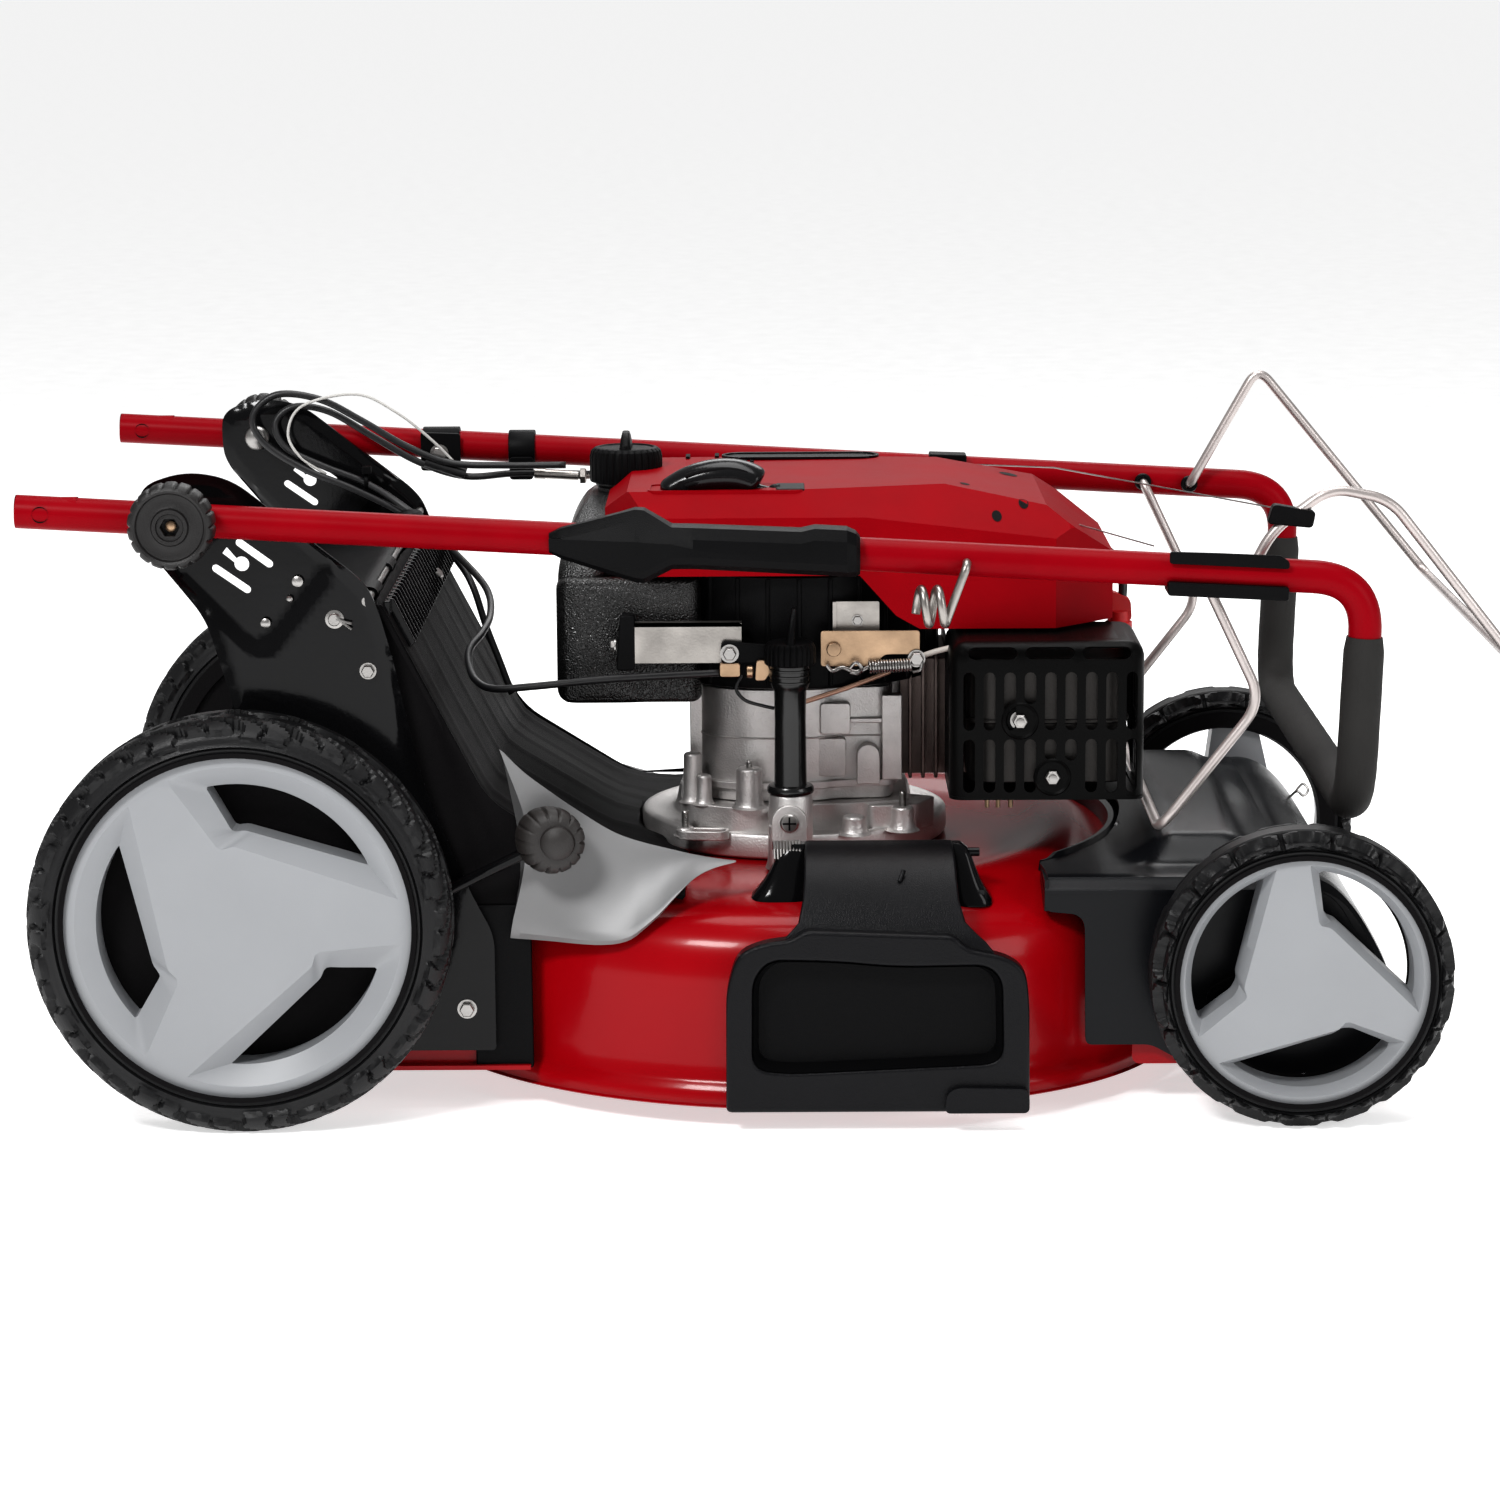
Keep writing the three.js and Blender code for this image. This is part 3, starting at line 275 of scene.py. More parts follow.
def piece(name, bm, body, finish, nodes=(), bevel=0.0, smooth=SMOOTH_ANGLE, steps=2):
    """Makes a bmesh of row-frame metres into a finished piece that rides on a body."""
    bmesh.ops.remove_doubles(bm, verts=bm.verts, dist=1e-6)
    obj = loose_piece(name, bm, finish, smooth)
    if bevel:
        edge = obj.modifiers.new("edges", "BEVEL")
        edge.width = bevel * MM
        edge.segments = steps
        edge.limit_method = "ANGLE"
        edge.angle_limit = SMOOTH_ANGLE
        edge.harden_normals = True
    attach(obj, body)
    if nodes:
        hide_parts(*nodes)


def joined(*parts):
    """One mesh made of several, which are used up."""
    total = bmesh.new()
    for bm in parts:
        mesh = bpy.data.meshes.new("part")
        bm.to_mesh(mesh)
        bm.free()
        total.from_mesh(mesh)
        bpy.data.meshes.remove(mesh)
    return total


def grid(points, wrap_u=False, wrap_v=False, cap=False):
    """Quads over rows of equally long lists of points."""
    bm = bmesh.new()
    rows = [[bm.verts.new(p) for p in row] for row in points]
    count = len(rows[0])
    for i in range(len(rows) - (0 if wrap_u else 1)):
        above, below = rows[i], rows[(i + 1) % len(rows)]
        for j in range(count - (0 if wrap_v else 1)):
            k = (j + 1) % count
            bm.faces.new((above[j], above[k], below[k], below[j]))
    if cap:
        bm.faces.new(rows[0])
        bm.faces.new(rows[-1])
    return bm


def arc(cx, cy, radius, start, end, steps):
    """Points on a circle between two angles in degrees."""
    return [(cx + radius * cos(radians(start + (end - start) * i / steps)), cy
             + radius * sin(radians(start + (end - start) * i / steps))) for i in range(steps + 1)]


def lathe(profile, centre, axis="y", steps=64, sign=1, closed=False):
    """A profile of (radius, distance along the axis) turned about the axis through centre."""
    rows = []
    for i in range(steps):
        a = 2 * pi * i / steps
        row = []
        for r, h in profile:
            c, s = r * cos(a), r * sin(a)
            x, y, z = {"y": (c, sign * h, s), "z": (c, s, sign * h), "x": (sign * h, c, s)}[axis]
            row.append(at(centre[0] + x, centre[1] + y, centre[2] + z))
        rows.append(row)
    return grid(rows, wrap_u=True, wrap_v=closed)


def fluted(rings, steps, flutes, depth, power, place):
    """Rows of a turned shape with flutes; rings are (radius, height, share of the depth)."""
    rows = []
    for r, h, share in rings:
        row = []
        for k in range(steps):
            a = 2 * pi * k / steps
            reach = r - depth * share * max(0, cos(a * flutes)) ** power
            row.append(place(reach * cos(a), reach * sin(a), h))
        rows.append(row)
    return rows


def bend(a, corner, b, steps):
    """A curve from a to b that is drawn towards the corner."""
    shares = [k / steps for k in range(steps + 1)]
    return [a * (1 - t) ** 2 + corner * 2 * t * (1 - t) + b * t * t for t in shares]


def rounded(corners, reach, steps=8):
    """A path with each corner replaced by a bend that starts `reach` before it."""
    v = [Vector(c) for c in corners]
    out = [v[0]]
    for i in range(1, len(v) - 1):
        wanted = reach[i - 1] if isinstance(reach, (list, tuple)) else reach
        back, ahead = v[i - 1] - v[i], v[i + 1] - v[i]
        a = v[i] + back.normalized() * min(wanted, back.length * 0.49)
        b = v[i] + ahead.normalized() * min(wanted, ahead.length * 0.49)
        out += bend(a, v[i], b, steps)
    out.append(v[-1])
    return out


def smooth_path(points, steps=8):
    """A Catmull-Rom curve through the points."""
    p = [Vector(q) for q in points]
    p = [p[0] * 2 - p[1]] + p + [p[-1] * 2 - p[-2]]
    out = []
    for i in range(1, len(p) - 2):
        for k in range(steps):
            t = k / steps
            out.append(0.5 * ((2 * p[i]) + (p[i + 1] - p[i - 1]) * t
                              + (2 * p[i - 1] - 5 * p[i] + 4 * p[i + 1] - p[i + 2]) * t * t
                              + (3 * p[i] - p[i - 1] - 3 * p[i + 1] + p[i + 2]) * t ** 3))
    out.append(p[-2])
    return out


def tube(path, radius, sides=20, section=None, cap=True, closed=False):
    """A tube along a path in millimetres; radius may be a function of the share of its length."""
    pts = [at(*p) for p in path]
    shape = section or [(cos(2 * pi * k / sides), sin(2 * pi * k / sides)) for k in range(sides)]
    rows = []
    across = None
    for i, p in enumerate(pts):
        before = pts[i - 1] if i or closed else p
        after = pts[(i + 1) % len(pts)] if i < len(pts) - 1 or closed else p
        along = ((p - before).normalized() + (after - p).normalized()).normalized()
        if across is None:
            guide = Vector((0, 0, 1)) if abs(along.z) < 0.9 else Vector((1, 0, 0))
            across = along.cross(guide).normalized()
        across = (across - along * across.dot(along)).normalized()
        upward = across.cross(along)
        r = (radius(i / (len(pts) - 1)) if callable(radius) else radius) * MM
        rows.append([p + (across * a + upward * b) * r for a, b in shape])
    return grid(rows, wrap_u=closed, wrap_v=True, cap=cap and not closed)


def flat(outline, holes=(), extra=()):
    """Triangles that fill an outline around its holes, as 2-D points and index triples."""
    points, faces, loops = [], [], [list(outline)] + [list(h) for h in holes]
    for loop in loops:
        base = len(points)
        points += [Vector(p) for p in loop]
        faces.append(list(range(base, base + len(loop))))
    points += [Vector(p) for p in extra]
    verts, _, tris, *_ = delaunay_2d_cdt(points, [], faces, 1, 1e-7)
    kept = []
    for tri in tris:
        middle = sum((verts[i] for i in tri), Vector((0, 0))) / 3
        if not any(inside(middle, loop) for loop in loops[1:]) and inside(middle, loops[0]):
            kept.append(tri)
    return verts, kept


def inside(p, loop):
    """Whether a point lies in a closed outline."""
    hit = False
    for (x0, y0), (x1, y1) in zip(loop, loop[1:] + loop[:1]):
        if (y0 > p[1]) != (y1 > p[1]) and p[0] < (x1 - x0) * (p[1] - y0) / (y1 - y0) + x0:
            hit = not hit
    return hit


def fill(bm, points, tris):
    """Adds points to a mesh with the triangles between them."""
    made = [bm.verts.new(p) for p in points]
    for tri in tris:
        bm.faces.new([made[i] for i in tri])
    return made


def two_layers(tris, layers):
    """A closed shell: triangles on two layers of points, and a wall along their rim."""
    bm = bmesh.new()
    low, high = (fill(bm, layer, tris) for layer in layers)
    rim = {}
    for tri in tris:
        for pair in zip(tri, tri[1:] + tri[:1]):
            rim.setdefault(frozenset(pair), []).append(pair)
    for uses in rim.values():
        if len(uses) == 1:
            a, b = uses[0]
            bm.faces.new((low[a], low[b], high[b], high[a]))
    return bm


def plate(outline, holes, span, axis="y"):
    """A flat plate: an outline with holes, between two values along the axis."""
    place = {"y": lambda a, b, h: at(a, h, b), "z": lambda a, b, h: at(a, b, h), "x": lambda a, b,
             h: at(h, a, b)}[axis]
    verts, tris = flat(outline, holes)
    bm = two_layers(tris, [[place(v[0], v[1], h) for v in verts] for h in span])
    bmesh.ops.recalc_face_normals(bm, faces=bm.faces)
    bmesh.ops.dissolve_limit(bm, angle_limit=0.001, verts=bm.verts, edges=bm.edges)
    return bm


def box_outline(x0, x1, y0, y1):
    """The four corners of a rectangle, in order."""
    return [(x0, y0), (x1, y0), (x1, y1), (x0, y1)]


def block(xs, ys, zs):
    """A box between pairs of values; pieces made of it are bevelled or joined to others."""
    return plate(box_outline(*xs, *ys), [], zs, "z")


def mirror_span(side, near, far):
    """Two distances from the middle plane, low value first, on one side."""
    return tuple(sorted((side * near, side * far)))


def capsule(a, b, radius, steps=8):
    """A slot's outline: two half circles joined by straight sides."""
    lean = degrees(atan2(b[1] - a[1], b[0] - a[0]))
    return arc(*a, radius, lean + 90, lean + 270, steps) + arc(*b, radius, lean - 90, lean + 90, steps)


def round_corners(corners, radius, steps=5):
    """A closed 2-D outline with its corners rounded."""
    out = []
    n = len(corners)
    for i in range(n):
        p, q, r = (Vector(corners[(i + k - 1) % n]) for k in range(3))
        reach = radius[i] if isinstance(radius, (list, tuple)) else radius
        a = q + (p - q).normalized() * min(reach, (p - q).length * 0.48)
        b = q + (r - q).normalized() * min(reach, (r - q).length * 0.48)
        out += [tuple(v) for v in bend(a, q, b, steps)]
    return out


def rounded_plate(corners, radius, span, axis="y"):
    """A plate without holes whose corners are rounded."""
    return plate(round_corners(corners, radius), [], span, axis)


def rect(x0, x1, y0, y1, radius, steps=5):
    """A rectangle with rounded corners."""
    return round_corners(box_outline(x0, x1, y0, y1), radius, steps)


def smooth_step(x):
    """Eases from 0 to 1 as x does."""
    x = max(0.0, min(1.0, x))
    return x * x * (3 - 2 * x)


def hexagon(r, a):
    """Distance from the middle of a hexagon to its edge at an angle; r is its corners' radius."""
    return r * cos(pi / 6) / cos((a % (pi / 3)) - pi / 6)


def hex_bolt(centre, direction, size, height, washer=0.0):
    """A hexagon head with a domed end, standing on a washer."""
    d = Vector(direction).normalized()
    side = d.cross(Vector((0, 0, 1)) if abs(d.z) < 0.9 else Vector((1, 0, 0))).normalized()
    up = d.cross(side)
    rows = []
    profile = [(washer, 0), (washer, 1.2)] if washer else []
    for r, h in profile + [(size * 0.56, 1.2 if washer else 0)]:
        rows.append((r, h, 24))
    rows += [(size * 0.577, rows[-1][1], 6), (size * 0.577, height - 0.8, 6), (size * 0.5, height, 6)]
    rings = []
    for r, h, sides in rows:
        ring = []
        for k in range(24):
            a = 2 * pi * k / 24
            reach = hexagon(r, a) if sides == 6 else r
            p = Vector(centre) + d * h + (side * cos(a) + up * sin(a)) * reach
            ring.append(at(*p))
        rings.append(ring)
    return grid(rings, wrap_v=True, cap=True)


camera()
stage()
# ---- wheels ------------------------------------------------------------------------------

HALF_WIDTH = 281
TREAD = 50


def wave(x):
    """A triangle wave of period 1, from 0 to 1 and back."""
    return abs((x % 1) * 2 - 1)


def edge(x, soft):
    """A step from 0 to 1 at x = 0, spread over a soft width."""
    return max(0.0, min(1.0, 0.5 + x / soft))


def rear_lugs(turn, across):
    """Height share of the rear tread: leaning blocks on each shoulder, one side half a step on."""
    count = 22
    reach = abs(across)
    u = turn * count + (0.5 if across > 0 else 0.0)
    lean = 0.75 * (reach - 0.4) + 0.16 * sin(reach * 8)
    local = (u + lean) % 1
    odd = math.floor(u + lean) % 2
    gap = 0.2 if reach > 0.35 else 0.3
    across_gap = edge(min(local, 1 - local) - gap / 2, 0.03)
    foot = 1.44 if odd else 1.2
    outer = edge(foot - reach - 0.1 * wave(local + 0.2), 0.08)
    inner = edge(reach - 0.12 - 0.1 * wave(local), 0.08)
    sipe = 1 - 0.7 * edge(0.035 - abs(local - 0.55), 0.02) * edge(reach - 0.7, 0.1)
    return across_gap * outer * inner * sipe


def front_lugs(turn, across):
    """Height share of the front tread: a ribbed band with lens-shaped pockets on its shoulders."""
    count = 18
    reach = abs(across)
    local = (turn * count + (0.5 if across > 0 else 0.0)) % 1 - 0.5
    pocket = (local / 0.43) ** 2 + ((reach - 0.98) / 0.27) ** 2
    foot = edge(1.44 - reach - 0.22 * wave(local), 0.06)
    groove = 1 - 0.8 * edge(0.05 - abs(reach - 0.52), 0.04)
    split = 1 - 0.9 * edge(0.03 - abs(abs(local) - 0.5), 0.03) * edge(reach - 0.5, 0.1)
    dip = 1 - 0.3 * edge(abs(local) - 0.36, 0.12) * edge(reach - 0.6, 0.2)
    return foot * groove * split * dip * min(1.0, edge(pocket - 1, 0.2))


def tyre(tag, body, side, x, z, outer, rim, lugs):
    """A tyre whose tread stands out of a rounded carcass."""
    half = TREAD / 2
    deep = outer - rim
    profile = [(rim - 3, -half + 6), (rim - 1, -half + 3.5), (rim + 1.5, -half + 3),
               (rim + 2.4, -half + 4.2), (rim + 3.4, -half + 2.2)]
    depth = 6.6
    base = outer - depth
    steps = 46
    for i in range(steps + 1):
        s = -1.5 + 3.0 * i / steps
        reach = abs(s)
        if reach <= 0.8:
            r, w = base - 0.4 * reach ** 2, s * (half - 6)
        else:
            t = min(1, (reach - 0.8) / 0.7)
            a = t * pi / 2
            r = base - 0.26 - (deep - 8) * 0.66 * t ** 1.4
            w = copysign((half - 6) * 0.8 + (half - 3.4 - (half - 6) * 0.8) * sin(a), s)
        profile.append((r, w, s))
    profile += [(r, -w) for r, w in profile[:5][::-1]]
    count = 640
    rows = []
    for i in range(count):
        turn = i / count
        a = 2 * pi * turn
        row = []
        for point in profile:
            r, w = point[0], point[1]
            if len(point) == 3:
                s = point[2]
                rise = depth * lugs(turn, s)
                out = min(1, max(0, (abs(s) - 0.7) / 0.6))
                r += rise * (1 - 0.8 * out)
                w += copysign(rise * 0.6 * out, s)
                r = min(r, outer - 0.02)
                w = max(-half + 0.3, min(half - 0.3, w))
            row.append(at(x + r * cos(a), side * (HALF_WIDTH - half) + w, z + r * sin(a)))
        rows.append(row)
    bm = grid(rows, wrap_u=True, wrap_v=True)
    piece(tag, bm, body, TYRE, [tag.replace("rubber", "tyre")], smooth=radians(28))


def spin(points, turn, mirror=1):
    """Points turned about the origin by degrees, then mirrored."""
    c, s = cos(radians(turn)), sin(radians(turn))
    turned = [(x * c - y * s, x * s + y * c) for x, y in points]
    return [(mirror * x, y) for x, y in turned]


def resample(loop, count):
    """Points evenly spaced along a closed outline."""
    closed = [Vector(p) for p in loop] + [Vector(loop[0])]
    lengths = [(b - a).length for a, b in zip(closed, closed[1:])]
    step, out, i, gone = sum(lengths) / count, [], 0, 0.0
    for k in range(count):
        want = k * step
        while gone + lengths[i] < want - 1e-9:
            gone += lengths[i]
            i += 1
        t = (want - gone) / lengths[i]
        p = closed[i].lerp(closed[i + 1], t)
        out.append((p.x, p.y))
    return out


def polar(r, a):
    """A point at a radius and an angle in degrees."""
    return (r * cos(radians(a)), r * sin(radians(a)))


def mixed(p, q, share):
    """A 2-D point between two others."""
    return (p[0] + (q[0] - p[0]) * share, p[1] + (q[1] - p[1]) * share)


def hubcap(tag, body, side, x, z, rim, turn, backed, mix):
    """A dished cap: an outer ring, three broad spokes with sloping flanks, and a dark drum."""
    scale = rim / 118
    middle = side * HALF_WIDTH
    face, floor, back = -5.5, -15, -38
    top = [polar(107.5, a) for a in range(10, 114, 4)] + [polar(107.5, 114)] \
        + [polar(61, 105), polar(52.5, 102), polar(55, 92)]
    low = [polar(94.5, a) for a in range(25, 102, 3)] + [polar(94.5, 102)] \
        + [polar(70, 95.5), polar(62, 92.5), polar(64, 86)]
    top = round_corners(top, [0.5] * (len(top) - 3) + [3, 5, 3], 3)
    low = round_corners(low, [0.5] * (len(low) - 3) + [3, 5, 3], 3)
    count = 96
    tops, lows = [], []
    for k in range(3):
        for source, loops in ((top, tops), (low, lows)):
            ring = resample([(px * scale, py * scale) for px, py in source], count)
            loops.append(spin(ring, turn - 120 * k, -side))
    lows = [[mixed(p, q, mix) for p, q in zip(low, high)] for low, high in zip(lows, tops)]
    place = lambda p, h: at(x + p[0], middle + side * h, z + p[1])
    bm = bmesh.new()
    circle = [polar(rim - 3.2, 360 * i / 120) for i in range(120)]
    verts, tris = flat(circle, tops)
    fill(bm, [place(v, face) for v in verts], tris)
    walls = []
    for high, deep in zip(tops, lows):
        rings = [[place(p, face) for p in high],
                 [place(mixed(p, q, 0.06), face - 0.5) for p, q in zip(high, deep)],
                 [place(p, floor) for p in deep], [place(p, back) for p in deep]]
        walls.append(grid(rings, wrap_v=True))
    verts, tris = flat(circle, lows)
    fill(bm, [place(v, back) for v in verts], tris)
    lip = [(rim - 3.2, face), (rim - 1.4, face - 0.5), (rim - 0.5, face - 1.6), (rim - 0.4, back),
           (rim - 3.2, back)]
    rows = [[place(polar(r, 360 * i / 120), h) for r, h in lip] for i in range(120)]
    piece(tag + "_hubcap", joined(bm, *walls, grid(rows, wrap_u=True)), body, HUB_GREY,
          [tag + "_rim"], smooth=radians(24))
    drum = lathe([(rim - 4, -2), (rim - 0.6, -1.5), (rim - 0.6, -47), (rim - 12, -47), (rim - 14, -41),
                  (rim - 5, -39)], (x, middle, z), sign=side, steps=96)
    hub = lathe([(6.4, -47), (20, -47), (22, -44), (22, -38.5)], (x, middle, z), sign=side)
    parts = [drum, hub]
    if backed:
        parts.append(lathe([(21, -41), (40, -40), (rim - 13, -40), (rim - 13, -42), (40, -42),
                            (21, -43)], (x, middle, z), sign=side, steps=96, closed=True))
    piece(tag + "_drum", joined(*parts), body, HOOD_BLACK)


for end, x, z, outer, rim, turn, lugs in (("rear", 0, 140, 140, 118, 0, rear_lugs),
                                          ("front", 699, 100, 100, 86, -25.5, front_lugs)):
    for side, word in SIDES:
        tag = f"{end}_{word}"
        wheel = f"{end}_{word}_wheel"
        tyre(tag + "_rubber", wheel, side, x, z, outer, rim, lugs)
        hubcap(tag, wheel, side, x, z, rim, turn, end == "rear", 0.0 if end == "rear" else 0.5)

# ---- deck --------------------------------------------------------------------------------

CRANK_X = 366
DECK_R, DECK_FRONT = 272, 274
MOUTH_REAR, MOUTH_FRONT, MOUTH_INSET = 344, 502, 10


def chamber_point(a, inset):
    """A point on the blade chamber's wall: round behind the crank, fuller ahead of it."""
    c, s = cos(a), sin(a)
    power = 2 / (2.4 if c > 0 else 2)
    reach = (DECK_FRONT if c > 0 else DECK_R) - inset
    return (CRANK_X + copysign(abs(c) ** power * reach, c),
            copysign(abs(s) ** power * (DECK_R - inset), s))


def deck_crown(a, inset, z):
    """The raised scroll on the deck's top, which climbs round the front of the engine."""
    turn = degrees(a)
    turn = turn - 360 if turn > 180 else turn
    climb = max(0.0, 1 - abs((turn - 5) / 92)) ** 0.8 if abs(turn - 5) < 92 else 0.0
    ridge = exp(-((inset - 84) / 26) ** 2)
    return z + 17 * climb * ridge


def shell_with_hole(rows, pairs, columns):
    """A closed sleeve of rows with a hole through two walls, bridged along its edge.

    pairs lists (outer row, inner row) from the hole's foot to its head; columns are its sides.
    """
    bm = bmesh.new()
    made = [[bm.verts.new(p) for p in row] for row in rows]
    first, last = columns
    outer = {pair[0] for pair in pairs[:-1]}
    inner = {pair[1] for pair in pairs[1:]}
    for i, row in enumerate(made):
        below = made[(i + 1) % len(made)]
        for j in range(len(row)):
            if first <= j < last and (i in outer or i in inner):
                continue
            k = (j + 1) % len(row)
            bm.faces.new((row[j], row[k], below[k], below[j]))
    for (o0, i0), (o1, i1) in zip(pairs, pairs[1:]):
        for j in (first, last):
            bm.faces.new((made[o0][j], made[o1][j], made[i1][j], made[i0][j]))
    for o, i in (pairs[0], pairs[-1]):
        for j in range(first, last):
            bm.faces.new((made[o][j], made[o][j + 1], made[i][j + 1], made[i][j]))
    return bm


def deck():
    """The pressed deck: chamber, rear and front side plates, roof and front wall."""
    outer = [(-1, 15), (0.5, 14), (2, 15.5), (2.5, 21), (3.5, 25), (7, 28.5), (9, 32), (9.6, 45),
             (9.6, 70), (10, 96), (11.5, 108), (15, 119), (21, 128), (29, 134.5), (38, 138.5),
             (48, 141), (58, 142.5), (68, 143.5), (78, 144), (88, 144.3), (100, 144.6), (112, 144.8),
             (126, 145), (150, 145.2), (190, 145.3)]
    inner = [(190, 142.3), (126, 142), (88, 141.3), (58, 139.5), (32, 131), (18, 116), (14.5, 108),
             (13, 96), (12.6, 70), (12.6, 45), (12, 32), (5, 24), (2.5, 16)]
    columns = 180
    turns = [2 * pi * k / columns for k in range(columns)]
    rows = []
    for inset, z in outer + inner:
        rows.append([at(*chamber_point(a, inset), deck_crown(a, inset, z)) for a in turns])
    mouth = [k for k in range(columns // 2, columns)
             if MOUTH_REAR < chamber_point(turns[k], MOUTH_INSET)[0] < MOUTH_FRONT]
    low, base = 7, len(outer)
    pairs = [(low + i, base + 9 - i) for i in range(4)]
    shell = shell_with_hole(rows, pairs, (mouth[0], mouth[-1]))
    rear = [plate(box_outline(30, 187, 27, 146), [], (side * 204, side * 208))
            for side in (RIGHT, LEFT)]
    nose = [rounded_plate([(592, 27), (742, 27), (742, 112), (592, 116)], 6,
                          (side * 204, side * 208)) for side in (RIGHT, LEFT)]
    lips = [plate(box_outline(30, 187, 27, 30), [], (side * 204, side * 216)) for side in (RIGHT, LEFT)]
    turned = [block((184, 187), mirror_span(side, 188, 208), (27, 146)) for side in (RIGHT, LEFT)]
    front = block((738, 745), (-206, 206), (27, 116))
    roof = plate(box_outline(30, 232, -205, 205), [[(105, -150), (105, 150), (226, 150), (226, -150)]],
                 (141, 145), "z")
    shelf = block((600, 742), (-205, 205), (112, 116))
    piece("deck", joined(shell, *rear, *nose, *lips, *turned, front, roof, shelf), "chassis", RED,
          ["deck_shell"], smooth=radians(38))


def spline(table, x):
    """A smooth curve through (x, value) pairs."""
    if x <= table[0][0]:
        return table[0][1]
    for i in range(len(table) - 1):
        (x0, y0), (x1, y1) = table[i], table[i + 1]
        if x <= x1:
            xa, ya = table[i - 1] if i else (2 * x0 - x1, 2 * y0 - y1)
            xb, yb = table[i + 2] if i + 2 < len(table) else (2 * x1 - x0, 2 * y1 - y0)
            m0, m1 = (y1 - ya) / (x1 - xa), (yb - y0) / (xb - x0)
            h = x1 - x0
            t = (x - x0) / h
            return ((1 + 2 * t) * (1 - t) ** 2 * y0 + t * (1 - t) ** 2 * h * m0
                    + t * t * (3 - 2 * t) * y1 + t * t * (t - 1) * h * m1)
    return table[-1][1]


def sheet_solid(points, offset):
    """A closed thin body from a grid of points in millimetres and an offset to its back."""
    rows = []
    for row in points:
        back = [Vector(p) + Vector(offset) for p in row[::-1]]
        rows.append([at(*p) for p in row + back])
    return grid(rows, wrap_v=True, cap=True)


TRIM_REAR, TRIM_TIP = 176, 326
# Outline and bulge of the shoulder trim: X of its rear edge by height, then by X the heights of
# its top and foot and its distance from the middle plane.
TRIM_LEFT = [(118, 174.5), (132, 177), (150, 181.5), (172, 185.5), (190, 186.5), (204, 184.5),
             (222, 178.5), (236, 173), (246.5, 169.4)]
TRIM_TOP = [(170, 246.5), (183, 233), (196, 222.5), (222, 204), (249, 188), (289, 176.5), (308, 172.5),
            (326, 170)]
TRIM_FOOT = [(170, 117.5), (200, 117), (228, 117), (245, 118.5), (256, 122), (264, 128), (275, 137.5),
             (285, 148), (298, 160), (310, 165.5), (326, 169)]
TRIM_OUT = [(170, 217), (200, 225), (230, 237), (252, 243), (266, 243), (280, 239), (292, 233),
            (311, 222), (326, 215)]


def trim_panel(side, word):
    """The shoulder trim: its rear edge bows inwards, its foot ends in a shallow S."""
    rows = []
    for i in range(49):
        share = (i / 48) ** 1.15           # columns lie closer at the rear edge
        row = []
        for k in range(25):
            v = k / 24
            x = TRIM_REAR + (TRIM_TIP - TRIM_REAR) * share
            for _ in range(3):
                low, high = spline(TRIM_FOOT, x), spline(TRIM_TOP, x)
                z = low + (high - low) * v
                left = spline(TRIM_LEFT, z)
                x = left + (TRIM_TIP - left) * share
            low, high, out = (spline(t, x) for t in (TRIM_FOOT, TRIM_TOP, TRIM_OUT))
            z = low + (high - low) * v
            rise = min(1.0, max(0.0, (z - low) / max(high - low, 1)))
            y = out + (214.5 - out) * (1 - (1 - rise) ** 1.7)
            y -= 5 * max(0, (0.07 - rise) / 0.07) ** 2
            if side == LEFT:
                z = min(z, 172 - (x - 170) * 0.34)
            row.append((x, side * y, z))
        rows.append(row)
    piece(f"shoulder_trim_{word}", sheet_solid(rows, (0, -side * 3, -0.5)), "chassis", TRIM_GREY,
          [f"trim_panel_{word}"], bevel=0.8)


HINGE_Y, HINGE_Z = -200, 172


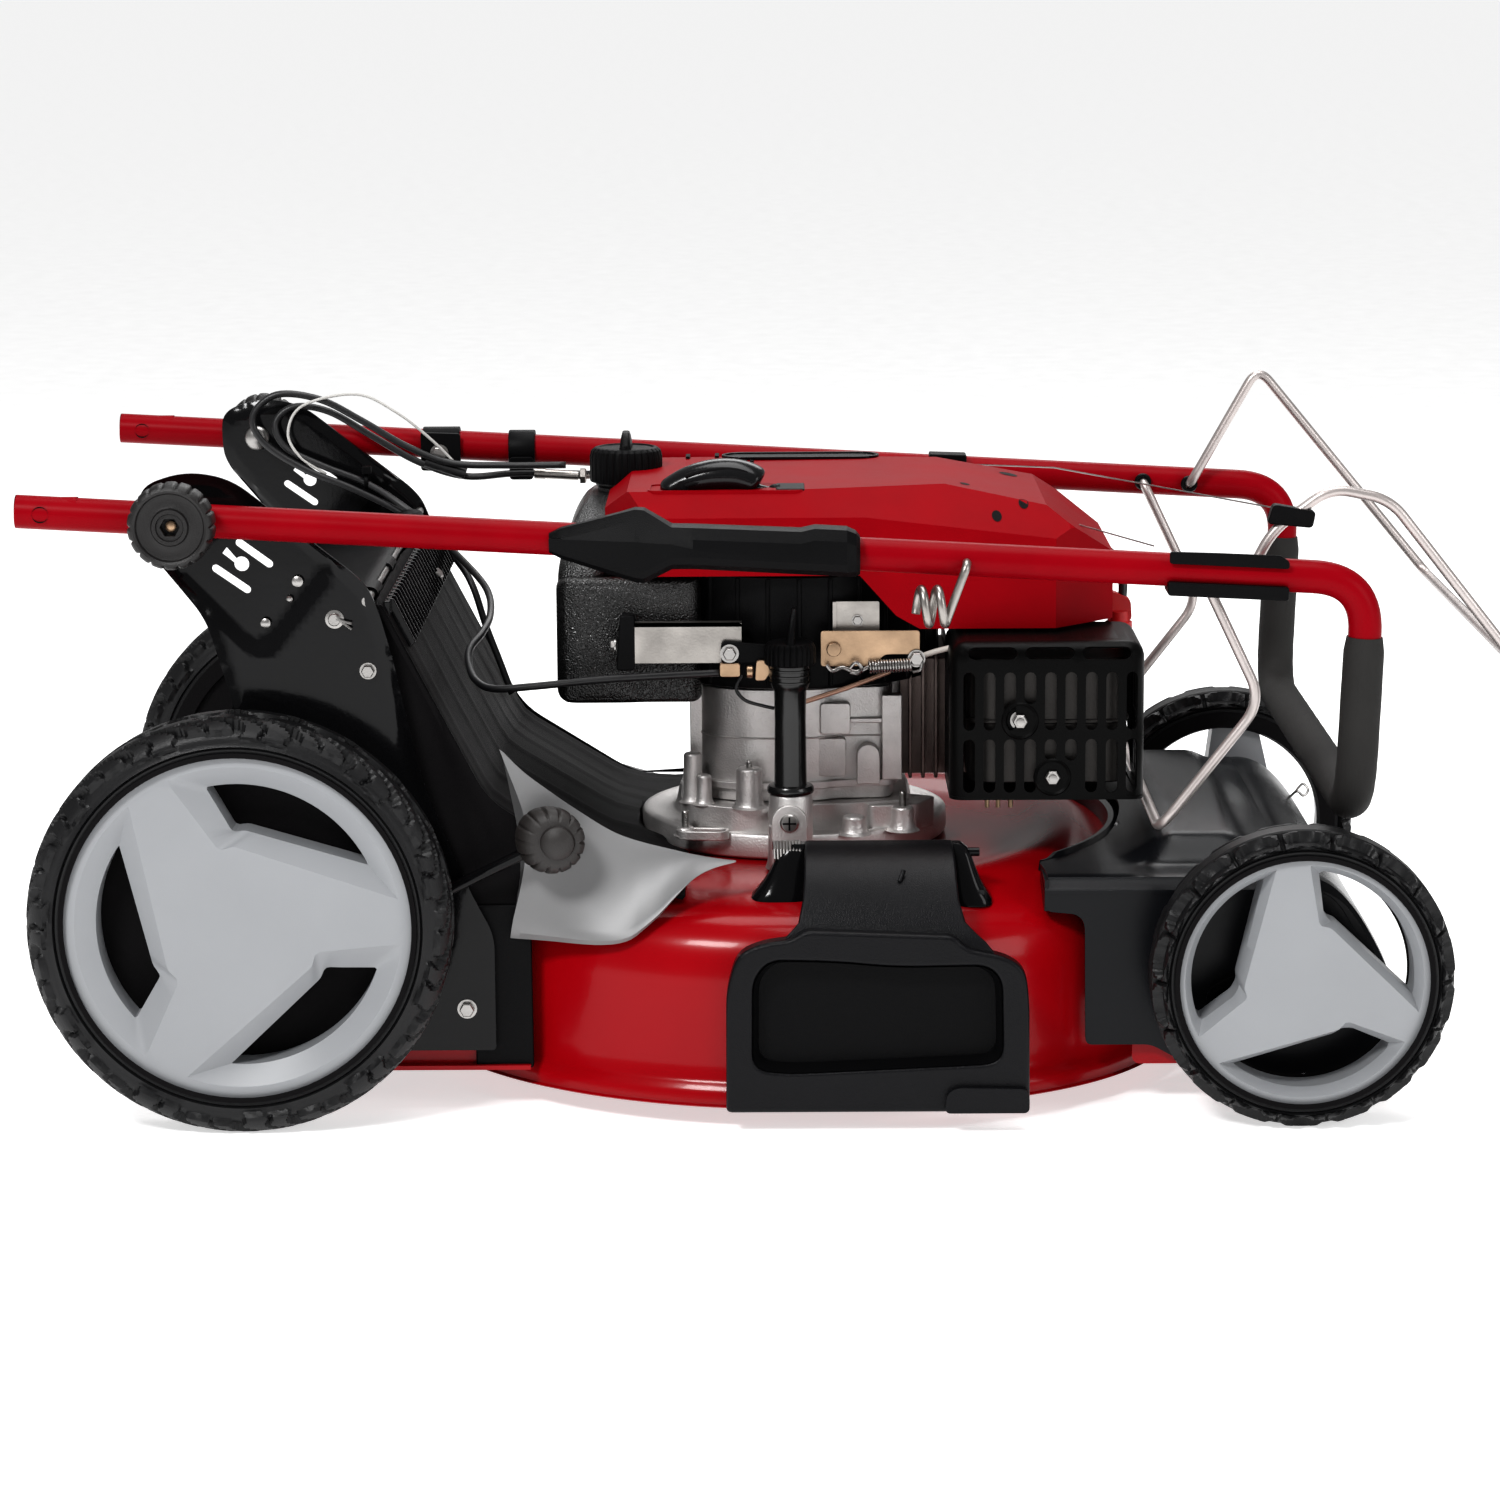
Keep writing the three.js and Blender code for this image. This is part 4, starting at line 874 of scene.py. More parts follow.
def side_flap():
    """The discharge flap: a beaded frame, its recess, the neck to the hinge and a foot."""
    outline = round_corners([(319, 14), (319.5, 97), (327, 122), (345, 129), (362, 131), (371, 137),
                             (469, 133), (478, 124), (503, 119), (516, 110), (518.5, 88), (519, 14)],
                            [4, 12, 10, 8, 5, 5, 5, 6, 9, 10, 10, 4])
    window = round_corners([(337, 44), (337.5, 104), (348, 117), (392, 116), (430, 112), (490, 113),
                            (500, 104), (501, 53), (494, 47), (360, 41)],
                           [10, 9, 9, 20, 20, 8, 8, 8, 8, 12])
    frame_plate = plate(outline, [window], (-265, -280.5))
    well = rounded_plate([(333, 38), (333, 121), (504, 118), (505, 46)], 8, (-264.5, -267))
    rim = [at(x, -280.3, z) for x, z in resample(window, 120)]
    shrunk = [at(418 + (x - 418) * 0.955, -266.6, 79 + (z - 79) * 0.9)
              for x, z in resample(window, 120)]
    wall = grid([rim, shrunk], wrap_v=True)
    piece("side_flap_panel_shell", frame_plate, "side_flap_panel", FLAP_BLACK, ["side_flap"], bevel=4.6,
          steps=5)
    # The recess and its walls take the darker black moulding instead of the flap's own black: painted
    # shade inside the recess.
    piece("side_flap_recess", joined(wall, well), "side_flap_panel", BLACK)
    path = [(-199, 180.5), (-215, 179.5), (-232, 174.5), (-247, 165), (-259, 153), (-268, 140),
            (-274, 128), (-276, 118)]
    left = [372, 372, 371.5, 371, 370, 367, 355, 348]
    right = [471, 471, 471.5, 472, 473, 477, 490, 498]
    fine = smooth_path([(0, y, z) for y, z in path], 4)
    rows = []
    for i, p in enumerate(fine):
        t = i / (len(fine) - 1) * (len(path) - 1)
        k = min(int(t), len(path) - 2)
        xl = left[k] + (left[k + 1] - left[k]) * (t - k)
        xr = right[k] + (right[k + 1] - right[k]) * (t - k)
        step = fine[min(i + 1, len(fine) - 1)] - fine[max(i - 1, 0)]
        normal = Vector((0, -step.z, step.y)).normalized() * -1
        inward = normal * 4.5 if normal.y > 0 or normal.z < 0 else normal * -4.5
        row = [(xl + (xr - xl) * j / 12, p.y, p.z) for j in range(13)]
        back = [(x, y + inward.y, z + inward.z) for x, y, z in row]
        rows.append([at(*q) for q in row] + [at(*q) for q in back[::-1]])
    neck = grid(rows, wrap_v=True, cap=True)
    barrel = tube([(373, HINGE_Y, HINGE_Z), (470, HINGE_Y, HINGE_Z)], 8.2, 24)
    piece("side_flap_neck", joined(neck, barrel), "side_flap_panel", FLAP_BLACK, bevel=1.6)
    tab = rounded_plate([(463, 14.5), (464, 28), (471, 32), (517, 31), (518.6, 26), (518.6, 14.5)], 4,
                        (-278, -285.6))
    pip = tube([(437, -246, 170), (434, -250, 163)], 1.6, 10)
    piece("side_flap_foot", joined(tab, pip), "side_flap_panel", FLAP_BLACK, bevel=1.8, steps=3)


def side_hinge():
    """Two ears with the pin and spring of the discharge flap."""
    parts = []
    for x0, x1, lean in ((334, 377, -1), (466, 498, 1)):
        rows = []
        stations = [(138, 1.0), (142, 0.98), (147, 0.86), (154, 0.72), (162, 0.6), (170, 0.5),
                    (176, 0.4), (179, 0.26)]
        mid_x, half = (x0 + x1) / 2, (x1 - x0) / 2
        for z, share in stations:
            ring = []
            for k in range(28):
                a = 2 * pi * k / 28
                c, s = cos(a), sin(a)
                ex = copysign(abs(c) ** 0.6, c) * half * share
                ey = copysign(abs(s) ** 0.6, s) * 18 * share
                ring.append(at(mid_x - lean * half * (1 - share) * 0.8 + ex, HINGE_Y + ey, z))
            rows.append(ring)
        parts.append(grid(rows, wrap_v=True, cap=True))
    pin = tube([(352, HINGE_Y, HINGE_Z), (489, HINGE_Y, HINGE_Z)], 3, 12)
    plinth = block((346, 492), (-214, -188), (145.5, 149))
    piece("side_flap_ears", joined(*parts, pin, plinth), "chassis", BLACK_GLOSS, ["side_flap_hinge"],
          bevel=0.9)
    coil = [(351 + 18 * t / 60, -200 + 7 * cos(t * 0.9), 173 + 7 * sin(t * 0.9)) for t in range(61)]
    piece("side_flap_spring", tube(coil, 1.1, 8), "chassis", STEEL)


deck()
for side, word in SIDES:
    trim_panel(side, word)
side_flap()
side_hinge()

# ---- handle ------------------------------------------------------------------------------

TUBE_R, TUBE_Y = 11, 232
PIVOT_X, PIVOT_Z = -37, 404
TAIL_X, CORNER_X = -142, 741
GRIP_X, GRIP_Z = 735, 207
FOAM_R, FOAM_TOP = 13.5, 322
BAIL_R, BAIL_Y = 3.5, 213.5
SOCKET_R = 6.6


def tube_z(x):
    """Height of the folded handle's tubes, which fall a little towards the front."""
    return PIVOT_Z - 0.0565 * (x - PIVOT_X)


def mirrored(half):
    """A path on the right side, then the same on the left side backwards."""
    return half + [(x, -y, z) for x, y, z in half[::-1]]


def handle():
    """The U-shaped tube, open at its rear ends."""
    half = [(TAIL_X, -TUBE_Y, tube_z(TAIL_X)), (CORNER_X, -TUBE_Y, tube_z(CORNER_X)),
            (GRIP_X, -TUBE_Y, GRIP_Z)]
    path = rounded(mirrored(half), [36, 40, 40, 36], 14)
    outer = tube(path, TUBE_R, 36, cap=False)
    rims = []
    for y in (-TUBE_Y, TUBE_Y):
        rims.append(lathe([(TUBE_R, 0), (TUBE_R - 1.6, 0), (TUBE_R - 1.6, 40)],
                          (TAIL_X, y, tube_z(TAIL_X)), "x", 36))
    piece("handle_tubes", joined(outer, *rims), "handle", TUBE_RED, ["handle_tube"])
    lock_x = PIVOT_X - 88
    eyes = []
    for side in (RIGHT, LEFT):
        for face in (-1, 1):
            centre = (lock_x, side * TUBE_Y + face * (TUBE_R - 1.2), tube_z(lock_x))
            eyes.append(lathe([(0, 0), (4.4, 0), (5.4, 1.0), (5.4, 1.35)], centre, "y", 24, face))
    # Dark discs on the tubes stand for the lock holes: painted shade of the holes' insides.
    piece("tube_holes", joined(*eyes), "handle", HOOD_BLACK)


def foam():
    """The foam sleeve over the crossbar and both legs."""
    lean = (CORNER_X - GRIP_X) / (tube_z(CORNER_X) - GRIP_Z)
    half = [(GRIP_X + (FOAM_TOP - GRIP_Z) * lean, -TUBE_Y, FOAM_TOP), (GRIP_X, -TUBE_Y, GRIP_Z)]
    path = rounded(mirrored(half), 40, 16)

    def girth(share):
        ends = min(share, 1 - share) * 60
        return FOAM_R - 1.6 * exp(-ends * 3) + 0.08 * sin(share * 160)
    dense = []
    for a, b in zip(path, path[1:]):
        steps = max(1, int((b - a).length / 9))
        dense += [a.lerp(b, k / steps) for k in range(steps)]
    piece("foam_sleeve_grip", tube(dense + [path[-1]], girth, 32), "handle", FOAM, ["foam_grip"])


def bails():
    """The two bail wires and the bushes they turn in."""
    brake = [(632, -228, tube_z(632)), (632, -BAIL_Y, tube_z(632)), (675, -BAIL_Y, 276),
             (608, -BAIL_Y, 190)]
    path = rounded(mirrored(brake), 18, 12)
    piece("brake_bail_wire", tube(path, BAIL_R, 20), "brake_bail_bar", WIRE, ["brake_bail"])
    z = tube_z(667)
    right = [(667, -228, z), (667, -BAIL_Y, z), (680, -BAIL_Y, 390), (718, -BAIL_Y, 418),
             (757, -BAIL_Y, 410), (847, -BAIL_Y, 296)]
    left = [(847, BAIL_Y, 296), (717, BAIL_Y, 453), (667, BAIL_Y, z), (667, 228, z)]
    path = rounded(right + left, 14, 12)
    piece("drive_bail_wire", tube(path, BAIL_R, 20), "drive_bail_bar", WIRE, ["drive_bail"])
    lobes = []
    for side in (RIGHT, LEFT):
        for x in (632, 667):
            lobes.append(lathe([(BAIL_R, 4), (5.6, 4), (6.4, 2.6), (6.4, 1.2), (BAIL_R, 0.6)],
                               (x, side * (TUBE_Y - TUBE_R - 1.4), tube_z(x)), "y", 24, -side))
    piece("bail_bushes", joined(*lobes), "handle", BLACK)


def tube_cover():
    """The folded moulding on the right tube: a diamond-shaped head and a flat sleeve."""
    stations = [(206, 5, -8, -247), (214, 9, -12, -248), (262, 24, -25, -250), (268, 24, -25, -251),
                (286, 14.5, -14, -257), (300, 15, -13, -258), (370, 16, -13, -258),
                (379, 18.5, -13, -258), (400, 18.5, -13, -258), (406, 16, -13, -255),
                (408.5, 13, -12, -252)]
    rows = []
    for x, top, low, out in stations:
        z = tube_z(x)
        mid = (top + low) / 2 + (3.5 if x < 290 else 0)
        inner = -243.2 if x < 220 else -228
        flank = min(5.5, (top - low) * 0.22)
        ring = [(inner, low + 1), (out + flank * 1.6, low), (out + flank * 0.5, low + flank * 0.7),
                (out, low + flank * 1.6), (out - (0.0 if x > 290 else 1.5), mid),
                (out + (0.4 if x > 290 else 3), top - flank * 1.4), (out + flank, top - 0.6),
                (out + flank * 2, top), (inner, top - 1)]
        rows.append([at(x, y, z + h) for y, h in ring])
    piece("tube_cover", grid(rows, wrap_v=True, cap=True), "handle", BLACK, ["handle_cover"], bevel=1.0,
          smooth=radians(18), steps=3)


def rope_guide():
    """The guide for the starter rope, hooked through the right tube."""
    x, z = 478, tube_z(478)
    pigtail = [(x, -222, z), (x, -250, z - 1)]
    for k in range(34):
        t = k / 18
        pigtail.append((464 - 10.5 * t, -250 - 7.5 * sin(2 * pi * t), 346.5 - 11.5 * cos(2 * pi * t)))
    swirl = rounded(pigtail[:3], 6, 6)[:-1] + smooth_path(pigtail[2:], 3)
    piece("rope_guide_wire", tube(swirl, 2.9, 16), "handle", ZINC, ["rope_guide"])


def cable_clips():
    """The clamp block, the clip band and the end clip of the cables on the left tube."""
    block_plate = rounded_plate([(86, 378), (116, 377), (116, 406), (86, 407)], 2.5, (216, 219))
    wrap = lathe([(TUBE_R + 0.1, 0), (TUBE_R + 2.4, 0), (TUBE_R + 2.4, 28), (TUBE_R + 0.1, 28)],
                 (87, TUBE_Y, tube_z(101)), "x", 36, closed=True)
    piece("cable_clamp", joined(block_plate, wrap), "handle", BLACK, bevel=0.8)
    piece("cable_clamp_bolt", hex_bolt((100, 216, 391), (0, -1, 0), 10, 6, 7), "handle", STEEL)
    band = lathe([(TUBE_R + 0.2, 0), (TUBE_R + 2.6, 0), (TUBE_R + 3, 1), (TUBE_R + 3, 19),
                  (TUBE_R + 2.6, 20), (TUBE_R + 0.2, 20)], (152, TUBE_Y, tube_z(162)), "x", 36,
                 closed=True)
    tail = plate(rect(153, 171, 371, 388, 3), [], (214, 221))
    ribs = [block((153, 171), (213.4, 214.2), (h, h + 1.2)) for h in (374, 378, 382)]
    piece("cable_clip", joined(band, tail, *ribs), "handle", BLACK, bevel=0.7)
    block_clip = rounded_plate([(470, 375), (498, 374), (498, 389), (470, 390)], 1.5, (203, 222))
    piece("cable_end_clip", block_clip, "handle", BLACK, bevel=1.2, steps=3)


def cable_adjuster():
    """The cable adjuster with its thread and lock nut."""
    z = 374.5
    adjuster = tube([(178, 214, z + 1), (205, 214, z - 0.6)], 3.6, 20)
    thread = lathe([(0, 0)] + [(2.6 + 0.5 * (k % 2), 0.7 * k) for k in range(18)] + [(0, 12.6)],
                   (205, 214, z - 0.6), "x", 20)
    neck = tube([(212, 214, z - 1), (228, 213, z - 1.5)], 1.7, 12)
    nut = hex_bolt((206.5, 214, z - 0.8), (1, 0, 0), 10.5, 4.5)
    sleeve = tube([(172, 214, z + 1.4), (180, 214, z + 1)], 4.1, 20)
    piece("cable_adjuster", joined(adjuster, thread, nut, sleeve), "handle", ZINC)
    piece("adjuster_wire", neck, "handle", STEEL)


def bail_guard():
    """The sleeve under the right tube at the bails, the bail's clamp and both inner wires."""
    top = rounded_plate([(610, 373), (688, 369), (688, 374), (682, 378), (640, 380), (610, 381)], 2,
                        (-246, -243.4))
    low = rounded_plate([(609, 352), (688, 348), (688, 357), (609, 361)], 2, (-246, -219))
    lug = rounded_plate([(676, 395), (706, 392), (708, 403), (680, 408)], 3, (-219, -208))
    piece("bail_guard", joined(top, low), "handle", BLACK, bevel=0.9)
    piece("bail_clamp", lug, "drive_bail_bar", BLACK, bevel=1.2)
    inner = tube([(498, 212, 381), (560, 150, 386), (693, -208, 402)], 0.55, 6)
    piece("drive_inner_wire", inner, "handle", STEEL)
    inner = tube([(498, 205, 360), (603, -205, 379)], 0.55, 6)
    piece("brake_inner_wire", inner, "handle", STEEL)


def star_knob(side, word):
    """A round knob with a grooved rim, a dished face and a hexagonal socket for the bolt."""
    lobes, steps = 18, 180
    rings = [(13, 246.2, 0), (20, 246.6, 0), (25.5, 249, 0.3), (27.6, 252, 1), (28.2, 255, 1),
             (28.2, 266, 1), (27.4, 269.5, 1), (25.8, 271.5, 0.4), (24, 272.2, 0), (22.5, 271.4, 0),
             (21.5, 269.4, 0), (17, 268.4, 0), (12.5, 269.6, 0), (11.5, 271.6, 0), (9.2, 271.6, 0),
             (8.6, 270, 0)]
    rows = fluted(rings, steps, lobes, 1.9, 6, lambda u, v, h: at(PIVOT_X + u, side * h, PIVOT_Z + v))
    for depth in (270, 262):
        row = []
        for k in range(steps):
            a = 2 * pi * k / steps
            r = hexagon(SOCKET_R, a)
            row.append(at(PIVOT_X + r * cos(a), side * depth, PIVOT_Z + r * sin(a)))
        rows.append(row)
    body = grid(rows, wrap_v=True, cap=True)
    piece(f"star_knob_{word}", body, f"knob_{word}_turning", KNOB_BLACK, [f"knob_{word}"])
    tip = lathe([(0, 265.4), (2.4, 265.3), (3.6, 264.6), (3.6, 262)], (PIVOT_X, 0, PIVOT_Z), "y", 20,
                side)
    piece(f"knob_insert_{word}", tip, f"knob_{word}_turning", GOLD_ZINC)
    dome = lathe([(0, 207.6), (3.5, 207.9), (6.5, 208.9), (8.6, 210.6), (9.4, 212.2), (9.4, 213),
                  (4, 213), (4, 246)], (PIVOT_X, 0, PIVOT_Z), "y", 32, side)
    piece(f"carriage_bolt_{word}", dome, "chassis", STEEL, [f"pivot_bolt_{word}"])


handle()
foam()
bails()
tube_cover()
rope_guide()
cable_clips()
cable_adjuster()
bail_guard()
for side, word in SIDES:
    star_knob(side, word)

# ---- engine ------------------------------------------------------------------------------

FLANGE_R, HOUSING_R = 108.5, 103
FILLER_X, FILLER_Y = 363, -131
CAP_X, CAP_Y = 247, 45
SHROUD_HALF = 112


def cut_away(bm, point, normal, drop=True):
    """Cuts a solid with a plane, and drops and closes what lies on the normal's side."""
    made = bmesh.ops.bisect_plane(bm, geom=bm.verts[:] + bm.edges[:] + bm.faces[:], plane_co=at(*point),
                                  plane_no=Vector(normal), dist=1e-7, clear_outer=drop)
    if drop:
        rim = [g for g in made["geom_cut"] if isinstance(g, bmesh.types.BMEdge)]
        bmesh.ops.edgeloop_fill(bm, edges=rim)


def convex(corner, planes):
    """A convex solid: a box cut by planes given as (point, outward direction)."""
    bm = block(*corner)
    for point, normal in planes:
        cut_away(bm, point, normal)
    return bm


def shroud():
    """The engine's top cover: a faceted solid, open below its stepped lower edge."""
    half, planes = SHROUD_HALF, []
    side = [(236, 388), (252, 402), (470, 404), (540, 390), (587, 356)]
    for (x0, z0), (x1, z1) in zip(side, side[1:]):
        planes.append(((x0, 0, z0), (z0 - z1, 0, x1 - x0)))
    for y in (RIGHT, LEFT):
        planes.append(((236, y * 70, 0), (-(half - 70), y * 30, 0)))
        planes.append(((545, y * half, 0), (half - 70, y * 42, 0)))
        planes.append(((0, y * half, 386), (0, y * 18, 20)))
        planes.append(((590, y * half, 352), (0.42, y * 0.5, 0.82)))
        planes.append(((500, y * half, 376), (0.10, y * 0.55, 0.85)))
    bm = convex(((236, 587), (-half, half), (300, 420)), planes)
    edge_line = [(200, 346), (411, 346), (436, 318), (452, 309), (620, 309)]
    for (x0, z0), (x1, z1) in zip(edge_line, edge_line[1:]):
        cut_away(bm, (x0, 0, z0), (z0 - z1, 0, x1 - x0), drop=False)

    def floor_at(x):
        for (x0, z0), (x1, z1) in zip(edge_line, edge_line[1:]):
            if x <= x1:
                return z0 + (z1 - z0) * (x - x0) / (x1 - x0)
        return edge_line[-1][1]
    gone = []
    for face in bm.faces:
        centre = face.calc_center_median()
        x, z = centre.x / MM + ORIGIN_X, centre.z / MM
        if z < floor_at(x) + 0.01:
            gone.append(face)
    bmesh.ops.delete(bm, geom=gone, context="FACES")
    piece("shroud", bm, "chassis", SHROUD_RED, ["engine_shroud"], smooth=radians(12))


def shroud_details():
    """Slots, small holes and the blank label."""
    marks = []
    for x, y in ((268, 92), (289, 96), (310, 100)):
        marks.append(plate(rect(x, x + 3, y - 14, y + 2, 1.2), [], (402.9, 404.25), "z"))
    for i in range(4):
        for j in range(4):
            centre = (322 + 5 * i, 46 + 14 * j, 403)
            marks.append(lathe([(0, 1.2), (1.5, 1.2), (1.5, 0)], centre, "z", 10))
    for x, y, rx, ry in ((485, -54, 3.4, 5), (505, -98, 3.4, 5), (524, -84, 3.4, 5), (521, 52, 6.5, 8)):
        marks.append(shroud_mark(x, y, rx, ry))
    # The slots and holes are not cut through: dark sheets lie on the shroud in their place, painted
    # shade of the openings.
    piece("shroud_slots", joined(*marks), "chassis", HOOD_BLACK)
    outline = capsule((330, 84), (414, 84), 15, 12)
    middle = capsule((330, 84), (414, 84), 12.5, 12)
    frame_ring = plate(outline, [middle], (403.2, 405.4), "z")
    piece("label_frame", frame_ring, "chassis", BLACK_GLOSS, bevel=0.5)
    piece("blank_label", plate(middle, [], (403.2, 404.5), "z"), "chassis", BLACK_GLOSS)


def grip_recess():
    """The starter grip's recess, with the mouth that the rope comes out of."""
    floor = plate(rect(268, 372, -94, -62, 6), [], (386, 388), "z")
    wall = plate(rect(266, 374, -96, -60, 7), [rect(268, 372, -94, -62, 6)], (386, 403), "z")
    piece("grip_recess", joined(floor, wall), "chassis", SHROUD_RED)
    mouth = joined(block((354, 374), (-94, -62), (387, 403.6)),
                   lathe([(3, 0), (6, 0), (8, 3), (8, 8), (3, 8)], (349, -78, 397), "x", 28))
    piece("rope_mouth", mouth, "chassis", BLACK, bevel=1.2, steps=3)


def shroud_mark(x, y, rx, ry):
    """A small dark oval that lies on the shroud's upper surface: painted shade in place of a hole."""
    target = bpy.data.objects["shroud"]
    bm = bmesh.new()
    ring = []
    for k in range(16):
        a = 2 * pi * k / 16
        p = at(x + rx * cos(a), y + ry * sin(a), 460)
        found, place, normal, _ = target.ray_cast(p, Vector((0, 0, -1)))
        if not found:
            place, normal = p - Vector((0, 0, 60 * MM)), Vector((0, 0, 1))
        ring.append(bm.verts.new(place + normal * 0.25 * MM))
    bm.faces.new(ring)
    return bm


def starter_grip():
    """A bar grip whose ribbed head leans on a neck that the rope comes out of."""
    path = smooth_path([(276, -82, 399), (284, -81, 404), (295, -80, 408.5), (310, -79, 411.5),
                        (325, -78, 411.5), (336, -78, 408.5), (342, -78, 404)], 8)

    def section(share):
        ends = min(share, 1 - share) * 9
        girth = 8.6 + 4.2 * smooth_step(share * 1.6)
        return girth * sqrt(max(0.06, 1 - (1 - min(1, ends)) ** 2))
    oval = [(cos(2 * pi * k / 32) * 1.15, sin(2 * pi * k / 32) * 0.86) for k in range(32)]
    head = tube(path, section, section=oval)
    neck = tube(smooth_path([(322, -78, 404), (331, -78, 401), (340, -78, 398), (350, -78, 396.5)], 6),
                lambda t: 10 - 3.6 * t, 28)
    piece("grip_body", joined(head, neck), "starter", GRIP, ["starter_grip"])
    grooves = []
    for k in (-1, 1):
        line = [(p.x, p.y - 11.6, p.z + 3.4 * k + 1.6) for p in path[14:40]]
        grooves.append(tube(line, 1.5, 8))
    grooves.append(lathe([(0, 4.4), (4.2, 4), (4.6, 0)], (290, -88, 405), "y", 24, -1))
    piece("grip_grooves", joined(*grooves), "starter", HOOD_BLACK)


def starter_cord():
    """The rope from its mouth to the grip."""
    mouth, neck = Vector((370, -78, 397)), Vector((346, -78, 397.6))
    path = [mouth.lerp(neck, k / 48) for k in range(49)]
    cord = loose_piece("starter_cord_end", tube(path, 2.6, 12), ROPE)
    at(*path[4])
    at(*path[44])
    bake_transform(cord)
    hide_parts("starter_rope")


def tank():
    """Fuel tank: a rounded block with a rolled waist and a shoulder up to its neck."""
    main = rounded_plate([(202, -100), (252, -100), (272, -96), (292, -72), (292, 72), (272, 96),
                          (252, 100), (202, 100)], [16, 10, 14, 18, 18, 14, 10, 16], (255, 343), "z")
    lobe = round_corners([(206, -99), (298, -99), (302, -90), (302, -78), (206, -78)], 6)
    lobes = [plate(lobe, [], span, "z") for span in ((298, 343), (256, 290))]
    piece("tank_body", main, "chassis", CRACKLE, ["fuel_tank"], bevel=9, steps=6)
    piece("tank_lobes", joined(*lobes), "chassis", CRACKLE, bevel=7, steps=5)
    shoulder = []
    for k in range(13):
        t = k / 12
        z = 338 + 48 * t
        grow = cos(t * pi / 2) ** 0.7
        x0, x1 = 203 + 20 * (1 - grow), 236 + 12 * t
        y0, y1 = -92 + 100 * (1 - grow), 98 - 26 * (1 - grow)
        ring = rect(x0, x1, y0, y1, min(15, (x1 - x0) * 0.45), 6)
        shoulder.append([at(x, y, z) for x, y in ring])
    piece("tank_shoulder", grid(shoulder, wrap_v=True, cap=True), "chassis", CRACKLE)
    neck = lathe([(24, 372), (21, 378), (20.5, 388), (22, 390), (22, 392)], (CAP_X, CAP_Y, 0), "z", 40)
    piece("tank_neck", neck, "chassis", CRACKLE)


def finger_wing(levels, x, y, rounding, lean):
    """The raised wing of a cap, from (height, half length, half thickness) levels."""
    rows = []
    for z, reach, thick in levels:
        ring = rect(x - thick, x + thick, y - reach, y + reach, thick * rounding, 4)
        rows.append([at(px + (z - 303) * lean, py, z) for px, py in ring])
    return grid(rows, wrap_v=True, cap=True)


def fuel_cap():
    """The ribbed fuel cap with its wing."""
    rings = [(20, 391.5, 0), (25.4, 391.8, 0), (26, 393, 1), (26, 410, 1), (25, 414, 1), (22.5, 416, 0),
             (20, 416.6, 0), (18.5, 415.4, 0), (8, 415.2, 0), (0.5, 415.4, 0)]
    rows = fluted(rings, 120, 30, 1.1, 4, lambda u, v, z: at(CAP_X + u, CAP_Y + v, z))
    levels = ((414.5, 21, 4.4), (419, 20, 3.8), (423.5, 15.5, 3.2), (427, 8, 2.4))
    wing = finger_wing(levels, CAP_X, CAP_Y, 0.9, 0)
    piece("tank_cap", joined(grid(rows, wrap_v=True, cap=True), wing), "fuel_cap_turning", BLACK,
          ["fuel_cap"], bevel=0.4)


def oil_filler():
    """The dipstick's tube, its ribbed cap and its rod."""
    tube_body = lathe([(11, 199.4), (15.6, 199.6), (16, 200.6), (16, 203), (15, 204.6), (11.2, 205.2),
                       (11, 212), (10.6, 250), (11, 270), (12.6, 273), (13.6, 276), (13.6, 287.8),
                       (9, 288)], (FILLER_X, FILLER_Y, 0), "z", 48)
    bands = [lathe([(13.5, 0), (14.3, 0.3), (14.3, 1.4), (13.5, 1.8)], (FILLER_X, FILLER_Y, z), "z", 48)
             for z in (276, 280, 284)]
    piece("oil_tube", joined(tube_body, *bands), "chassis", GLOSS_PLASTIC, ["dipstick_tube"])
    rings = [(8, 288.3, 0), (16.8, 288.4, 0), (17.6, 289.4, 1), (17.6, 299, 1), (17, 301.5, 1),
             (15.6, 303.4, 0.4), (13, 304.4, 0), (6, 304.8, 0), (0.4, 305, 0)]
    rows = fluted(rings, 144, 24, 0.9, 3, lambda u, v, z: at(FILLER_X + u, FILLER_Y + v, z))
    levels = ((303.5, 15, 2.8), (310, 14.2, 2.4), (318, 12, 2.1), (324, 9, 1.8), (327, 5.5, 1.4))
    fin = finger_wing(levels, FILLER_X, FILLER_Y, 0.8, 0.12)
    rod = lathe([(0, 215), (2.4, 216), (2.4, 289)], (FILLER_X, FILLER_Y, 0), "z", 16)
    piece("oil_cap", joined(grid(rows, wrap_v=True, cap=True), fin, rod), "dipstick_gauge", BLACK,
          ["dipstick"], bevel=0.3)


def stud(x, y, low, high, radius=3.0):
    """A threaded stud."""
    turns = int((high - low) / 0.9)
    profile = [(radius - 0.45 * (k % 2), 0.45 * k) for k in range(2 * turns)]
    return lathe([(0, 0)] + profile + [(radius - 0.8, 0.9 * turns + 0.5), (0, 0.9 * turns + 0.6)],
                 (x, y, low), "z", 20)


def boss(x, y, low, high, radius, flare=3.0):
    """A cast boss with a flared foot and a rounded rim."""
    return lathe([(radius + flare, 0), (radius + flare * 0.35, flare * 0.5), (radius, flare * 1.6),
                  (radius - 0.3, high - low - 1.4), (radius - 1.6, high - low), (0, high - low)],
                 (x, y, low), "z", 32)


